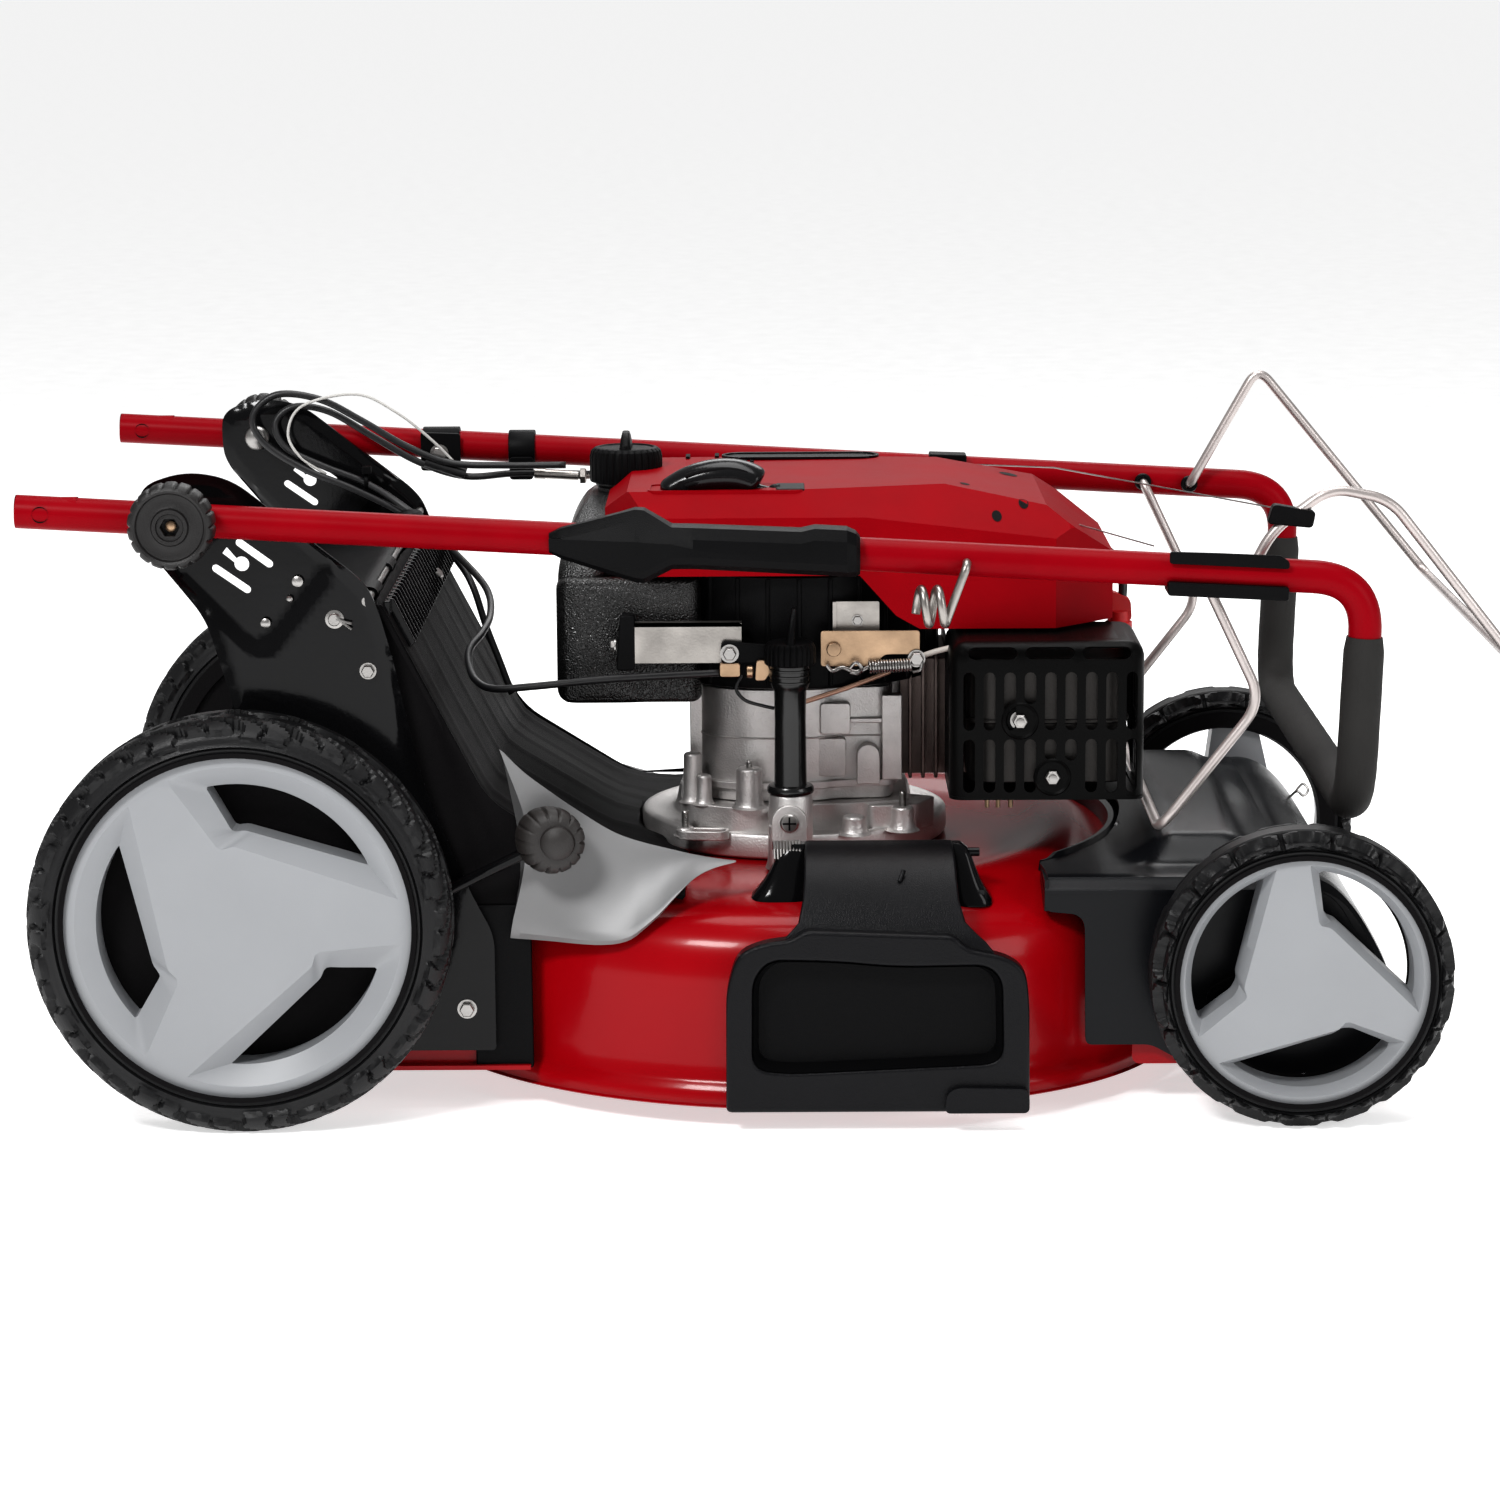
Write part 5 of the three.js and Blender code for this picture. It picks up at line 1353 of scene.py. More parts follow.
def sump():
    """The engine's cast base: flange, tiers, bosses and the oil filler."""
    x, y = FILLER_X, FILLER_Y
    r = FLANGE_R
    flange = lathe([(60, 146.4), (r - 3, 146.4), (r - 0.8, 147.6), (r, 150), (r, 161.5),
                    (r - 0.8, 163.6), (r - 3, 164.6), (r - 7, 164.2), (r - 10, 162.6), (90, 162.4),
                    (86, 164), (84, 168), (82, 178), (81, 181.2), (20, 181.8)], (CRANK_X, 0, 0), "z",
                   128)
    tier = rounded_plate([(286, -56), (290, -80), (306, -88), (324, -97), (344, -97), (352, -88),
                          (400, -84), (446, -70), (446, 70), (412, 84), (330, 84), (286, 62)], 7,
                         (160, 181.6), "z")
    foot = rounded_plate([(417, -86), (450, -80), (466, -52), (440, -40), (417, -40)], 6,
                         (160, 180), "z")
    rise = rounded_plate([(348, -145), (375, -145), (376, -80), (347, -80)], 5, (150, 178), "z")
    filler = lathe([(17.5, 147), (16, 152), (15.2, 160), (15, 196), (14, 199), (0, 199)], (x, y, 0),
                   "z", 48)
    face = plate(arc(362, 181.5, 12, 0, 180, 16) + [(350, 152), (374, 152)], [], (-148.4, -140))
    parts = [flange, tier, foot, rise, filler, face, boss(295, -72, 181, 216, 6.6),
             boss(303, -80, 181, 202, 5.4), boss(334.5, -92, 181, 209, 9.2, 3.5),
             boss(407, -98, 163, 176, 8.2, 4), boss(441, -86, 163, 180, 8, 4),
             boss(290, -94, 162, 168, 6.5, 2)]
    parts.append(plate(capsule((291, -96), (313, -99), 7.5), [capsule((291, -96), (313, -99), 5)],
                       (160, 166.5), "z"))
    piece("sump_casting", joined(*parts), "chassis", CAST, ["engine_base"], bevel=1.1, steps=3)
    studs = [stud(290, -94, 167, 179, 2.8), stud(441, -86, 179, 190, 2.8),
             stud(334.5, -92, 208, 214, 2.2)]
    screw = lathe([(0, 2.4), (5.4, 2.2), (6.4, 1.2), (6.6, 0)], (362, -148.4, 181.3), "y", 32, -1)
    cross = [plate(box_outline(*sides), [], (-151.1, -150.4))
             for sides in ((357.4, 366.6, 180.7, 181.9), (361.4, 362.6, 176.7, 185.9))]
    piece("sump_studs", joined(*studs, screw), "chassis", STEEL)
    # A dark cross laid on the screw's head in place of a cut recess: painted shade of the cross slot.
    piece("screw_cross", joined(*cross), "chassis", HOOD_BLACK)


def crankcase():
    """The crankcase with the cylinder, its fins, the head and the plug boot."""
    plan = round_corners([(300, -56), (312, -70), (334, -79), (362, -81), (384, -77), (396, -70),
                          (432, -67), (436, -50), (436, 66), (300, 66)], 7)
    layers = []
    for grow, span in ((1, (182.3, 193)), (1.045, (191, 196)), (0.985, (195, 261)),
                       (0.995, (226, 227.4))):
        outline = [(CRANK_X + (px - CRANK_X) * grow, py * grow) for px, py in plan]
        layers.append(plate(outline, [], span, "z"))
    fin = plate([(293, 184), (293, 257), (309, 251), (309, 184)], [], (-52, -48))
    panel = plate(rect(384, 405, 229, 251, 3), [], (-76.5, -68))
    pad = plate(rect(382, 402, 199, 226, 3), [], (-75.5, -66))
    arch = plate(arc(417.5, 214, 8, 0, 180, 12) + [(409.5, 194), (425.5, 194)], [], (-79, -66))
    rib = block((404, 441), (-71, -62), (236, 239.4))
    rib2 = block((427, 441), (-73, -62), (196, 256))
    barrel = block((400, 543), (-38, 38), (200, 261))
    casting = joined(*layers, fin, panel, pad, arch, rib, rib2, barrel)
    piece("crankcase_casting", casting, "chassis", CAST, ["engine_block"], bevel=1.2, steps=3)
    fins = []
    for i in range(10):
        x = 446 + 9 * i
        fins.append(plate(rect(-62, 62, 194, 283, 6), [], (x, x + 2.4), "x"))
    fins.append(block((440, 546), (-50, 50), (196, 278)))
    piece("cylinder_fins", joined(*fins), "chassis", CAST_DARK, bevel=0.7)
    head = [plate(rect(-58, 58, 192, 288, 8), [], (x, x + 5), "x") for x in (544, 552, 561, 570, 579)]
    head.append(block((543.5, 584), (-52, 52), (198, 270)))
    piece("head_fins", joined(*head), "chassis", CAST_DARK, ["cylinder_head"], bevel=0.8)
    boot = joined(tube(rounded([(585.4, 0, 268), (597, 0, 268), (597, 0, 303)], 8, 6), 8, 24),
                  lathe([(8, -3), (9.6, -2), (9.6, 5), (8, 6)], (597, 0, 290), "z", 28),
                  rounded_plate([(588, 296), (606, 296), (605, 312), (590, 318)], 4, (-5, 5)))
    piece("spark_boot", boot, "chassis", BOOT, ["plug_boot"], bevel=0.8)
    lead = tube(smooth_path([(597, 0, 300), (600, 2, 320), (596, 10, 338), (584, 20, 348)], 6), 3.2, 12)
    piece("spark_lead", lead, "chassis", CABLE)


def sheet_metal(outline, holes, place, thick, step):
    """A pressed sheet: a flat blank with holes, set into space by place(u, v, depth)."""
    extra = []
    u = min(p[0] for p in outline) + step / 2
    while u < max(p[0] for p in outline):
        v = min(p[1] for p in outline) + step / 2
        while v < max(p[1] for p in outline):
            if inside((u, v), outline) and not any(inside((u, v), h) for h in holes):
                extra.append((u, v))
            v += step
        u += step
    verts, tris = flat(outline, holes, extra)
    return two_layers(tris, [[at(*place(v[0], v[1], d)) for v in verts] for d in (0, thick)])


def guard():
    """The muffler guard: one sheet bent round two corners and over its top edge."""
    x0, x1, y0, y1, low, high, bend = 471, 603, -67, -155, 198, 306, 11
    side = abs(y1 - y0) - bend
    turn = bend * pi / 2
    front = x1 - x0 - 2 * bend
    marks = [side, side + turn, side + turn + front, side + 2 * turn + front]
    width = marks[-1] + side
    height = high - low - bend + bend * pi / 2

    def place(u, v, depth):
        if u < marks[0]:
            p, n = (x0, y0 - u), (1, 0)
        elif u < marks[1]:
            a = (u - marks[0]) / bend
            n = (cos(a), sin(a))
            p = (x0 + bend - bend * n[0], y1 + bend - bend * n[1])
        elif u < marks[2]:
            p, n = (x0 + bend + u - marks[1], y1), (0, 1)
        elif u < marks[3]:
            a = (u - marks[2]) / bend
            n = (-sin(a), cos(a))
            p = (x1 - bend - bend * n[0], y1 + bend - bend * n[1])
        else:
            p, n = (x1, y1 + bend + u - marks[3]), (-1, 0)
        z, back = low + v, depth
        over = v - (high - low - bend)
        if over > 0:
            a = over / bend
            back = bend - (bend - depth) * cos(a)
            z = high - bend + (bend - depth) * sin(a)
        return (p[0] + n[0] * back, p[1] + n[1] * back, z)
    holes = []
    for i in range(9):
        u = side + turn - bend + 15 + 13.8 * i - bend + 9
        holes.append(capsule((u, 70 if i == 3 else 52), (u, 84), 4.0, 6))
        holes.append(capsule((u, 31 if i in (4, 5) else 9), (u, 38), 4.0, 6))
    for i in range(3):
        u = side + turn + 6 + 38.5 * i
        holes.append(capsule((u, 101), (u + 24, 101), 4.6, 6))
    for u in (14, 30, 46, 62):
        for place_u in (u, width - u):
            holes.append(capsule((place_u, 54), (place_u, 84), 4.2, 6))
            holes.append(capsule((place_u, 12), (place_u, 40), 4.2, 6))
    wall = sheet_metal(box_outline(0, width, 0, height), holes, place, 1.8, 4)
    outline = round_corners([(x0 + bend, y0), (x0 + bend, y1 + bend), (x1 - bend, y1 + bend),
                             (x1 - bend, y0)], 1)
    slots = [capsule((x0 + bend + 8 + 15.2 * i, -134), (x0 + bend + 8 + 15.2 * i, -84), 4.6, 6)
             for i in range(7)]
    top = plate(outline, slots, (high - 1.8, high), "z")
    rim = plate(round_corners([(x0, y0), (x0, y1), (x1, y1), (x1, y0)], [1, bend, bend, 1], 8),
                [round_corners([(x0 + 5, y0 - 2), (x0 + 5, y1 + 5), (x1 - 5, y1 + 5), (x1 - 5, y0 - 2)],
                               [1, bend, bend, 1], 8)], (low, low + 2), "z")
    bolts_at = ((518.4, 252.5), (540.6, 213.6))
    cups = []
    for bx, bz in bolts_at:
        cups.append(lathe([(13, 0.2), (12, -0.8), (9.5, 0.4), (8.6, 3), (0, 3.2)], (bx, y1, bz), "y",
                          40))
    piece("muffler_cage", joined(wall, top, rim, *cups), "chassis", BLACK_SATIN, ["muffler_guard"],
          smooth=radians(40))
    bolts = [hex_bolt((bx, y1 + 3, bz), (0, -1, 0), 9, 7, 6.6) for bx, bz in bolts_at]
    tips = [lathe([(0, 9), (2.6, 8.6), (3, 6)], (bx, y1 + 3, bz), "y", 20, -1) for bx, bz in bolts_at]
    piece("guard_bolts", joined(*bolts, *tips), "chassis", STEEL)


def muffler():
    """The muffler's can with its seam and outlet, and the pins under its guard."""
    can = plate(rect(484, 592, -147, -74, 18, 8), [], (208, 294), "z")
    outlet = lathe([(0, 0), (11, 0), (13, 2), (13, 9), (0, 9)], (520, -76, 250), "y", 32)
    ridge = plate(rect(482, 594, -149, -72, 19, 8), [], (249, 252), "z")
    piece("muffler_can", joined(can, ridge, outlet), "chassis", MUFFLER_STEEL, ["muffler"], bevel=3,
          steps=4)
    spikes = [tube([(x, -140, 197.6), (x, -140, 190)], 1.6, 10) for x in (497, 504.5, 513)]
    piece("guard_pins", joined(*spikes), "chassis", GOLD_ZINC)


def blower():
    """The blower housing under the shroud."""
    shell = lathe([(24, 265), (HOUSING_R - 4, 265), (HOUSING_R - 1, 266), (HOUSING_R, 269),
                   (HOUSING_R, 343), (HOUSING_R - 2, 344), (HOUSING_R - 3, 343), (HOUSING_R - 3, 270),
                   (24, 269)], (CRANK_X, 0, 0), "z", 96, closed=True)
    ribs = []
    for a in range(200, 345, 12):
        c, s = cos(radians(a)), sin(radians(a))
        ribs.append(tube([(CRANK_X + HOUSING_R * c, HOUSING_R * s, 268),
                          (CRANK_X + HOUSING_R * c, HOUSING_R * s, 342)], 1.6, 8))
    piece("blower_casing", joined(shell, *ribs), "chassis", BLACK, ["blower_housing"])


def breather():
    """Air filter housing and carburettor on the far side, shaped from their CAD boxes."""
    def span(node):
        low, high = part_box(node)
        return ((low.x / MM + ORIGIN_X, high.x / MM + ORIGIN_X), (low.y / MM, high.y / MM),
                (low.z / MM, high.z / MM))
    (x0, x1), (y0, y1), (z0, z1) = span("air_filter_housing")
    outline = rect(x0, x1, z0, z1, 9)
    inner = rect(x0 + 7, x1 - 7, z0 + 7, z1 - 7, 7)
    case = plate(outline, [], (y0, y1 - 5))
    lid = plate(inner, [], (y1 - 6, y1))
    seam = plate(outline, [], (y1 - 16, y1 - 13))
    louvres = [block((x0 + 14, x1 - 14), (y1 - 1, y1 + 0.8), (z, z + 2.4))
               for z in range(int(z0) + 14, int(z1) - 12, 8)]
    piece("air_filter_case", joined(case, lid, *louvres), "chassis", BLACK, ["air_filter_housing"],
          bevel=2.4, steps=3)
    piece("air_filter_seam", seam, "chassis", BLACK_SATIN, bevel=0.8)
    (x0, x1), (y0, y1), (z0, z1) = span("carburettor")
    mid_x, mid_z = (x0 + x1) / 2, (z0 + z1) / 2
    body = plate(rect(x0 + 3, x1 - 3, z0 + 8, z1, 6), [], (y0, y1))
    bowl = lathe([(0, 0), (9, 0.4), (12, 2), (13, 5), (13, 12), (0, 12)], (mid_x, (y0 + y1) / 2, z0),
                 "z", 32)
    bands = [plate(rect(x0, x1, z0 + 10, z1, 5), [], (y, y + 3)) for y in (y0, y1 - 3)]
    screws = [lathe([(0, 0), (3, 0), (3.4, 1), (2.4, 2.4), (0, 2.6)], (mid_x + dx, y1 - 0.8, mid_z + 4),
                    "y", 20) for dx in (-9, 9)]
    piece("carburettor_body", joined(body, bowl, *bands, *screws), "chassis", CAST, ["carburettor"],
          bevel=1.2, steps=3)


def control_bracket():
    """The zinc bracket with its ends and bolts, and a small one beside it."""
    plate_zinc = sheet_metal(rect(255, 330, 287, 314.5, 1.2), [], lambda u, v, d: (u, d - 117, v),
                             3, 9)
    lip = block((255, 330), (-117, -106), (312, 314.5))
    arm = block((318, 330), (-117, -97), (290, 300))
    piece("zinc_plate", joined(plate_zinc, lip, arm), "chassis", ZINC, ["control_bracket"])
    end = rounded_plate([(244, 282), (257, 282), (257, 320), (247, 320)], 3, (-118, -104))
    strap = rounded_plate([(316, 287), (352, 288), (352, 300), (316, 303)], 4, (-122.4, -118))
    piece("bracket_ends", joined(end, strap), "chassis", BLACK, bevel=1)
    heads = [hex_bolt((321.8, -122.4, 294.5), (0, -1, 0), 8, 5, 6.4),
             hex_bolt((244, -111, 298), (-1, 0, 0), 8, 4, 5)]
    piece("bracket_bolts", joined(*heads), "chassis", STEEL)
    small = plate(rect(394, 424.5, 306, 327, 1.5), [arc(409.5, 314, 2, 0, 345, 12)], (-104.5, -102.5))
    flange = block((392.5, 394.8), (-107, -102.5), (306, 327))
    piece("small_bracket", joined(small, flange), "chassis", ZINC)
    bolt = hex_bolt((409.5, -104.5, 314), (0, -1, 0), 6, 3, 4)
    piece("small_bracket_bolt", bolt, "chassis", STEEL)


def brake_lever():
    """The gold brake plate with its pin, coil spring, links and nut."""
    lever = rounded_plate([(384, 284), (420, 284), (428, 292), (452, 292), (452, 308.5), (384, 308.5)],
                          2.5, (-116, -113.6))
    pin = lathe([(0, 4), (4.6, 3.6), (5, 3), (5, 0)], (393, -116, 296), "y", 28, -1)
    piece("gold_plate", joined(lever, pin), "brake_lever_plate", GOLD_ZINC, ["brake_lever"], bevel=0.5)
    start, finish = Vector((417, -119.5, 284.2)), Vector((446, -119.5, 285.5))
    coil = [tuple(start.lerp(finish, t / 260) + Vector((0, cos(t * 0.36) * 3.9, sin(t * 0.36) * 3.9)))
            for t in range(261)]
    spring = tube(coil, 0.85, 8)
    hook = tube(smooth_path([(446, -119.5, 285.5), (449, -120, 290), (453, -120, 288), (452, -120, 282),
                             (447, -119.5, 280.5)], 6), 1.1, 10)
    link = tube(smooth_path([(388, -122, 286), (392, -122, 282), (399, -121, 284), (408, -121, 281),
                             (417, -119.5, 284)], 6), 1.3, 10)
    eye = tube(smooth_path([(404, -123, 284), (408, -124, 288), (412, -123, 284), (409, -121, 280),
                            (404, -122, 281)], 5), 1.3, 10)
    piece("brake_spring", joined(spring, hook, link, eye), "brake_lever_plate", STEEL)
    nut = hex_bolt((449.6, -117, 289.5), (0, -1, 0), 8.5, 5, 6)
    piece("plate_nut", nut, "brake_lever_plate", STEEL)


def engine_wires():
    """The lead, the governor rod, the cable clamps and the stop switch's wire."""
    lead = tube(smooth_path([(448, -110, 288), (462, -112, 293), (478, -114, 298), (490, -100, 303)],
                            6), 2.0, 12)
    piece("beige_lead_wire", lead, "chassis", BEIGE)
    rod = tube([(372, -110, 258), (402, -100, 266), (432, -92, 276)], 1.8, 12)
    piece("copper_rod", rod, "chassis", COPPER)
    clamps = [plate(rect(315, 329, 278.5, 288, 2), [], (-125, -119)),
              rounded_plate([(339, 276), (346, 276), (350, 282), (347, 290), (340, 290)], 2,
                            (-126, -119)),
              lathe([(3, 0), (4.4, 0.4), (4.4, 4.6), (3, 5)], (333, -121, 281.5), "x", 20)]
    piece("cable_clamps", joined(*clamps), "chassis", GOLD_ZINC, bevel=0.6)
    loop = tube(smooth_path([(330, -120, 279), (326, -121, 270), (332, -122, 262), (344, -122, 258),
                             (352, -121, 256)], 6), 1.2, 10)
    piece("stop_switch_wire", loop, "chassis", CABLE)


shroud()
shroud_details()
grip_recess()
starter_grip()
starter_cord()
tank()
fuel_cap()
oil_filler()
sump()
crankcase()
guard()
muffler()
blower()
breather()
control_bracket()
brake_lever()
engine_wires()

# ---- body panels -------------------------------------------------------------------------

BRACKET_Y = 213.3
HOOD_Y = 212.3
FLAP_X, FLAP_Z = 84, 347
POCKET = [(-75, 445), (-75, 384), (-46, 368), (0, 319), (10, 313), (22, 316), (58, 361), (66, 378),
          (72, 445)]


def nearest(p, loop):
    """Distance from a point to a closed outline."""
    p, best = Vector(p), 1e9
    for a, b in zip(loop, loop[1:] + loop[:1]):
        a, b = Vector(a), Vector(b)
        t = max(0.0, min(1.0, (p - a).dot(b - a) / max((b - a).length_squared, 1e-9)))
        best = min(best, (p - a.lerp(b, t)).length)
    return best


def bracket(side, word):
    """Pressed handle bracket: a sunk pocket for the keyholes and a rolled edge."""
    edge_line = round_corners([(-64, 404), (-63, 424), (-34, 434), (-4, 429), (84, 360), (92, 341),
                               (101, 308), (118, 228), (145, 158), (164, 120), (164, 41), (62, 41),
                               (30, 150), (-8, 288), (-22, 337), (-62, 386)],
                              [14, 12, 20, 14, 16, 8, 14, 20, 20, 10, 3, 3, 30, 30, 14, 14], 6)
    holes = [capsule((-9, 381), (2, 372), 2.7), capsule((1, 386), (20, 372), 2.7),
             capsule((-15, 369), (5, 355), 2.7)]
    key = [(2 + 5 * cos(radians(a)), 372 + 5 * sin(radians(a))) for a in range(-190, 131, 20)]
    holes[0] = key + [(-7.5, 383.2), (-10.6, 379)]

    def relief(x, z):
        sunk = nearest((x, z), POCKET) if inside((x, z), POCKET) else 0.0
        out = 3.4 * (1 - smooth_step(sunk / 5))
        rim = nearest((x, z), edge_line)
        if z > 150:
            out += 3.2 * (1 - smooth_step(rim / 6)) * (1 if z > 190 else (z - 150) / 40)
        fold = smooth_step((150 - z) / 30)
        return out * (1 - fold * 0.6)

    def place(x, z, depth):
        return (x, side * (BRACKET_Y + relief(x, z) + depth), z)
    shell = sheet_metal(edge_line, holes, place, 2.2, 4.5)
    piece(f"bracket_{word}", shell, "chassis", BLACK_GLOSS, [f"handle_bracket_{word}"],
          smooth=radians(50))
    y = side * (BRACKET_Y + 5.6)
    bolts = [hex_bolt((84, y, 300.8), (0, side, 0), 7.6, 5, 5.6),
             hex_bolt((145, side * (BRACKET_Y + 3.4), 69.8), (0, side, 0), 8.6, 5.5, 6.6)]
    domes = []
    for x, z, r in ((38.9, 360.6, 3.8), (17.1, 333, 3.4), (33.3, 349, 2.2)):
        domes.append(lathe([(0, 1.6), (r * 0.6, 1.4), (r * 0.95, 0.7), (r, 0)], (x, y, z), "y", 24,
                           side))
    clevis = [lathe([(0, 4), (3.6, 4), (4.2, 3.4), (4.2, 0)], (62.7, y, 335.4), "y", 28, side),
              lathe([(6.2, 0), (6.2, 0.8), (4, 1.2)], (62.7, y, 335.4), "y", 28, side),
              tube([(64, y + side * 3.4, 338), (69, y + side * 3.4, 333), (74, y + side * 3, 329)], 1.0,
                   8), tube([(64, y + side * 3.4, 336), (70, y + side * 3.4, 334),
                             (74, y + side * 3, 333)], 1.0, 8)]
    piece(f"bracket_bolts_{word}", joined(*bolts, *domes, *clevis), "chassis", STEEL)


def far_drop(y):
    """How much lower the hood is on its far half."""
    return 14 * smooth_step(y / 190)


def hood():
    """The rear hood: two creased walls, a fluted slope, its comb and skirts."""
    side_line = [(92, 346), (161, 212), (237, 165), (290, 149), (290, 146.3), (181, 146.3), (181, 26),
                 (165, 26), (158, 110), (150, 146.3), (40, 146.3)]
    walls = []
    for side in (RIGHT, LEFT):
        outline = round_corners(side_line, [5, 16, 14, 1, 1, 2, 3, 3, 10, 4, 2], 5)

        if side == LEFT:
            outline = [(x, z - far_drop(HOOD_Y) if z > 150 else z) for x, z in outline]

        def place(x, z, depth, side=side):
            crease = (x - 100) * 0.46 + (z - 300) * 0.22
            lift = 1.8 * smooth_step((crease - 2) / 5) * smooth_step((z - 150) / 14)
            second = 1.6 * smooth_step(((x - 128) * 0.5 + (z - 250) * 0.12) / 5)
            return (x, side * (HOOD_Y - 2.6 + lift + second * smooth_step((z - 150) / 14) - depth), z)
        walls.append(sheet_metal(outline, [], place, 2.4, 5))
    top = [(90, 347), (94, 343), (112, 308), (136, 260), (157, 220), (163, 211), (172, 204), (200, 187),
           (228, 170), (240, 164), (256, 160), (276, 153), (292, 148.5)]
    rows = []
    for x, z in top:
        row = []
        for k in range(65):
            y = -HOOD_Y + 2 * HOOD_Y * k / 64
            flute = 1.6 * smooth_step((abs(((y + 300) % 60) - 30) - 22) / 5)
            edge_drop = 3.0 * smooth_step((abs(y) - HOOD_Y + 4) / 4) ** 2
            hug = hypot(x - CRANK_X, y)
            px = x if hug > FLANGE_R + 2 else CRANK_X - sqrt(max((FLANGE_R + 2) ** 2 - y * y, 0))
            row.append((px, y, z + flute - edge_drop - far_drop(y) * min(1, (z - 146) / 12)))
        rows.append(row)
    roof = sheet_solid(rows, (-2, 0, -2.6))
    rear_lip = [block((94, 98), (-206, 206), (334, 345))]
    for y in range(-196, 200, 14):
        rear_lip.append(plate([(95, 336), (110, 312), (114, 316), (100, 345), (95, 346)], [],
                              (y, y + 2.2)))
    skirts = [rounded_plate([(150, 27), (189, 27), (188.5, 140), (150, 140)], 3,
                            (side * 208.4, side * 212)) for side in (RIGHT, LEFT)]
    piece("hood_shell", joined(*walls, roof), "chassis", HOOD_BLACK, ["rear_hood"], bevel=0.9,
          smooth=radians(26))
    piece("hood_comb", joined(*rear_lip), "chassis", BLACK_GLOSS, bevel=0.8)
    piece("hood_skirts", joined(*skirts), "chassis", BLACK, bevel=1.6, steps=3)
    screw = hex_bolt((108, 60, 322), (0.75, -0.3, 0.6), 7.5, 4, 5.8)
    piece("hood_screws", screw, "chassis", STEEL)


def flap():
    """The ribbed rear flap, hung from its pin."""
    outline = round_corners([(86, 352), (79, 353), (6, 327), (-35, 122), (-31, 121), (9, 321),
                             (80, 345)], [2, 6, 8, 1, 1, 8, 4], 5)
    panel = plate(outline, [], (-190, 190))
    ribs = []
    for k in range(9):
        y = -176 + 44 * k
        ribs.append(rounded_plate([(4, 327), (-34, 132), (-38, 134), (-1, 328)], 1.5, (y - 2, y + 2)))
    pin = tube([(FLAP_X, -219, FLAP_Z), (FLAP_X, 219, FLAP_Z)], 3.2, 20)
    barrel = [tube([(FLAP_X, y, FLAP_Z), (FLAP_X, y + 34, FLAP_Z)], 5.2, 24)
              for y in (-190, -80, 46, 156)]
    rim = tube([(-33, -189, 122), (-33, 189, 122)], 3.4, 16)
    piece("bag_flap", joined(panel, *ribs, *barrel, rim), "rear_flap_panel", BLACK, ["rear_flap"],
          bevel=1.1)
    piece("bag_flap_pin", pin, "rear_flap_panel", STEEL)


COWL_END = 702
NOSE = [(700, 156.5), (707, 156.6), (716, 154.5), (726, 149), (736, 139.5), (746, 126.5), (757, 107),
        (764, 90), (768, 70), (768, 50)]


def cowl():
    """The front cowl: a low dome behind a round nose, with skirts and a collar at the deck."""
    near, back = -215, 215
    bow = [(CRANK_X + 232 * cos(radians(a)), 232 * sin(radians(a))) for a in range(44, -45, -4)]
    outline = [(532, near), (COWL_END, near), (COWL_END, back), (532, back), (532, 166)] + bow \
        + [(532, -166)]

    def height(x, y):
        reach = abs(y)
        flank = smooth_step((178 - reach) / 30)
        dome = smooth_step((x - 580) / 46) * smooth_step((COWL_END - x) / 44) * flank
        bulge = sqrt(max(0.0, 1 - (reach / 192) ** 2))
        lip = smooth_step((reach - 206) / 9)
        return 156.5 + dome * (4 + 20 * bulge) - 8 * lip

    def place(x, y, depth):
        return (x, y, height(x, y) - depth)
    skin = sheet_metal(outline, [], place, 2.6, 5)
    curve = smooth_path([(x, 0, z) for x, z in NOSE], 4)
    rows = []
    for p in curve:
        row = []
        for k in range(61):
            y = near + (back - near) * k / 60
            lip = smooth_step((abs(y) - 206) / 9)
            row.append((p.x - 6 * lip * smooth_step((156 - p.z) / 30), y, p.z
                        - 8 * lip * smooth_step((p.z - 60) / 60)))
        rows.append(row)
    nose = sheet_solid(rows, (-2.4, 0, -2.0))
    side_line = round_corners([(532, 149), (532, 134), (553, 132), (559, 127), (560, 42), (604, 42),
                               (640, 22), (690, 20), (748, 24), (762, 50), (760, 84), (753, 106),
                               (742, 126), (732, 139), (720, 147), (704, 149)],
                              [2, 6, 3, 8, 5, 5, 6, 6, 8, 8, 6, 6, 6, 6, 6, 2], 4)
    sides = [plate(side_line, [], (side * 211.5, side * 214.5)) for side in (RIGHT, LEFT)]
    back_walls = [block((532, 535), mirror_span(side, 166, 213), (134, 155)) for side in (RIGHT, LEFT)]
    ring = []
    for a in range(-42, 43, 2):
        c, s = cos(radians(a)), sin(radians(a))
        tall = 159 if abs(a) < 40 else 156
        profile = ((231, 142), (231, tall - 3), (228, tall), (224, tall - 1), (222, 142))
        ring.append([at(CRANK_X + r * c, r * s, z) for r, z in profile])
    collar = grid(ring, wrap_v=True, cap=True)
    piece("nose_cowl", joined(skin, nose, *sides, *back_walls, collar), "chassis", COWL_BLACK,
          ["front_cowl"], bevel=1.6, steps=3, smooth=radians(34))
    clip = tube(smooth_path([(744, 190, 128), (749, 186, 133), (754, 188, 129), (758, 191, 133),
                             (754, 194, 137), (748, 192, 131)], 5), 1.0, 8)
    piece("front_cotter", clip, "front_axle_arms", STEEL)


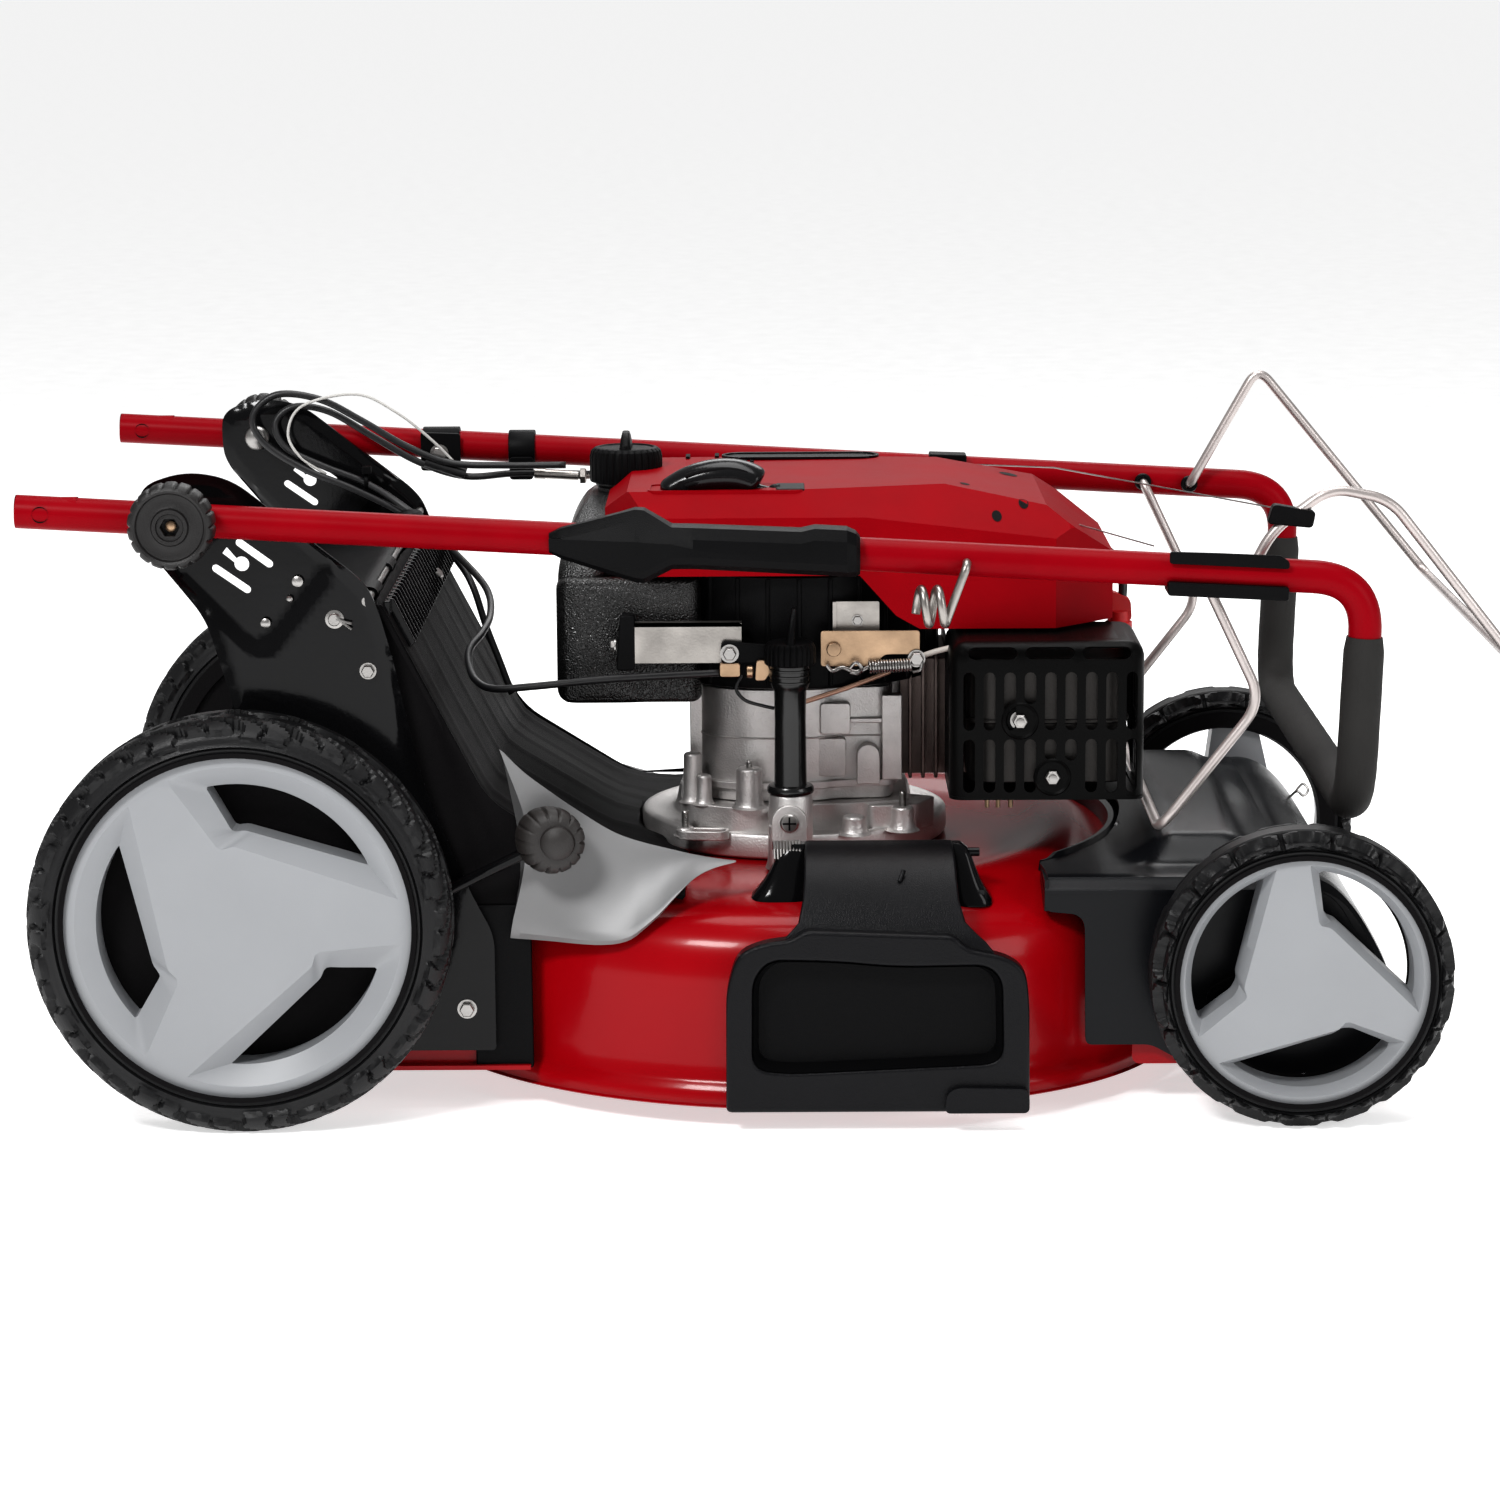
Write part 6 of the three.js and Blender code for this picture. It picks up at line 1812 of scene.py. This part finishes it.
def axles():
    """The height-setting axles with their arms, and the rear one's lever."""
    for tag, pivot, wheel, body in (("rear", (55, 115), (0, 140), "rear_axle_arms"),
                                    ("front", (652, 75), (699, 100), "front_axle_arms")):
        bar = tube([(pivot[0], -224, pivot[1]), (pivot[0], 224, pivot[1])], 8, 28)
        arms = []
        for side in (RIGHT, LEFT):
            arms.append(plate(capsule(pivot, wheel, 12, 10), [], (side * 218, side * 224)))
            arms.append(tube([(wheel[0], side * 218, wheel[1]), (wheel[0], side * 266, wheel[1])], 6,
                             20))
            arms.append(hex_bolt((wheel[0], side * 262, wheel[1]), (0, side, 0), 14, 8, 11))
        parts = [bar] + arms
        if tag == "rear":
            lever = rounded([(55, -221.5, 115), (148, -225, 160), (205, -237, 190)], 12, 8)
            parts.append(tube(lever, 4, 18))
        piece(f"{tag}_axle_bar", joined(*parts), body, BLACK_GLOSS, [f"{tag}_axle"], bevel=0.8)


def lever_knob():
    """The round knob of the height lever: a fluted skirt that leans back, and a smooth dome."""
    x, z = 203, 190
    rings = [(4, 225.5, 0), (12, 226, 0), (18, 228, 0), (21.6, 232, 0.3), (22.6, 237, 1),
             (22.4, 241, 1), (20.8, 245.5, 1), (17.5, 248.6, 0.8), (13.6, 250, 0)]
    rows = fluted(rings, 168, 14, 1.5, 5, lambda u, v, h: at(x + 0.33 * (h - 237) + u, -h, z + v))
    cap = lathe([(11.6, -247), (11.6, -250.5), (10.8, -253.4), (8, -255.8), (4, -257), (0, -257.3)],
                (x + 6, 0, z + 0.5), "y", 48)
    piece("height_lever_knob", grid(rows, wrap_v=True, cap=True), "rear_axle_arms", KNOB,
          ["height_knob"])
    piece("height_knob_cap", cap, "rear_axle_arms", KNOB)


BRAKE_ROUTE = [(215, 214, 375), (160, 214, 376), (120, 213, 374), (85, 212, 385), (50, 212, 405),
               (18, 210, 424), (-8, 207, 428), (-22, 204, 416), (-14, 201, 398), (14, 199, 384),
               (48, 199, 370), (80, 190, 350), (105, 160, 333), (135, 100, 315), (147, 50, 308),
               (150.5, 0, 301), (147, -35, 295), (140, -62, 288), (141, -80, 279), (147, -98, 272),
               (160, -112, 269), (190, -119, 272), (240, -121, 277), (318, -121, 281)]
DRIVE_ROUTE = [(196, 206, 383), (150, 206, 383), (110, 206, 385), (76, 206, 398), (44, 205, 417),
               (12, 203, 434), (-20, 200, 438), (-38, 198, 422), (-30, 197, 402), (0, 197, 382),
               (34, 197, 368), (70, 196, 350), (98, 188, 332), (118, 172, 312), (128, 162, 296),
               (137, 158, 268), (147, 154, 242), (156, 150, 218)]


BEND_START, BEND_END = at(20, 205, 405), at(14.1, 205, 388.1)


def cables():
    """Sheaths from the left tube over the bracket."""
    for name, route in (("brake", BRAKE_ROUTE), ("drive", DRIVE_ROUTE)):
        sheath = tube(smooth_path(route, 8), 2.6, 14)
        obj = loose_piece(f"{name}_cable_sheath", sheath, CABLE)
        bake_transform(obj)
        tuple(BEND_START)
        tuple(BEND_END)
        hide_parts(f"{name}_cable")
    collar = tube([(120, 211, 376), (90, 211, 386)], 4.4, 16)
    tie = lathe([(5.4, 0), (6.4, 0.6), (6.4, 3.4), (5.4, 4)], (44, 202, 372), "x", 24, closed=True)
    knot = block((43, 50), (195, 202), (378, 384))
    piece("cable_grommet", collar, "handle", CABLE)
    piece("cable_tie", joined(tie, knot), "chassis", BLACK, bevel=0.8)
    white = smooth_path([(118, 211, 378), (96, 205, 402), (70, 200, 424), (40, 200, 438), (0, 200, 430),
                         (-12, 199, 410), (-4, 198, 392), (16, 198, 378)], 8)
    obj = loose_piece("white_inner_wire", tube(white, 1.1, 10), ROPE)
    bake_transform(obj)
    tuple(BEND_START)
    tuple(BEND_END)


for side, word in SIDES:
    bracket(side, word)
hood()
flap()
cowl()
axles()
lever_knob()
cables()
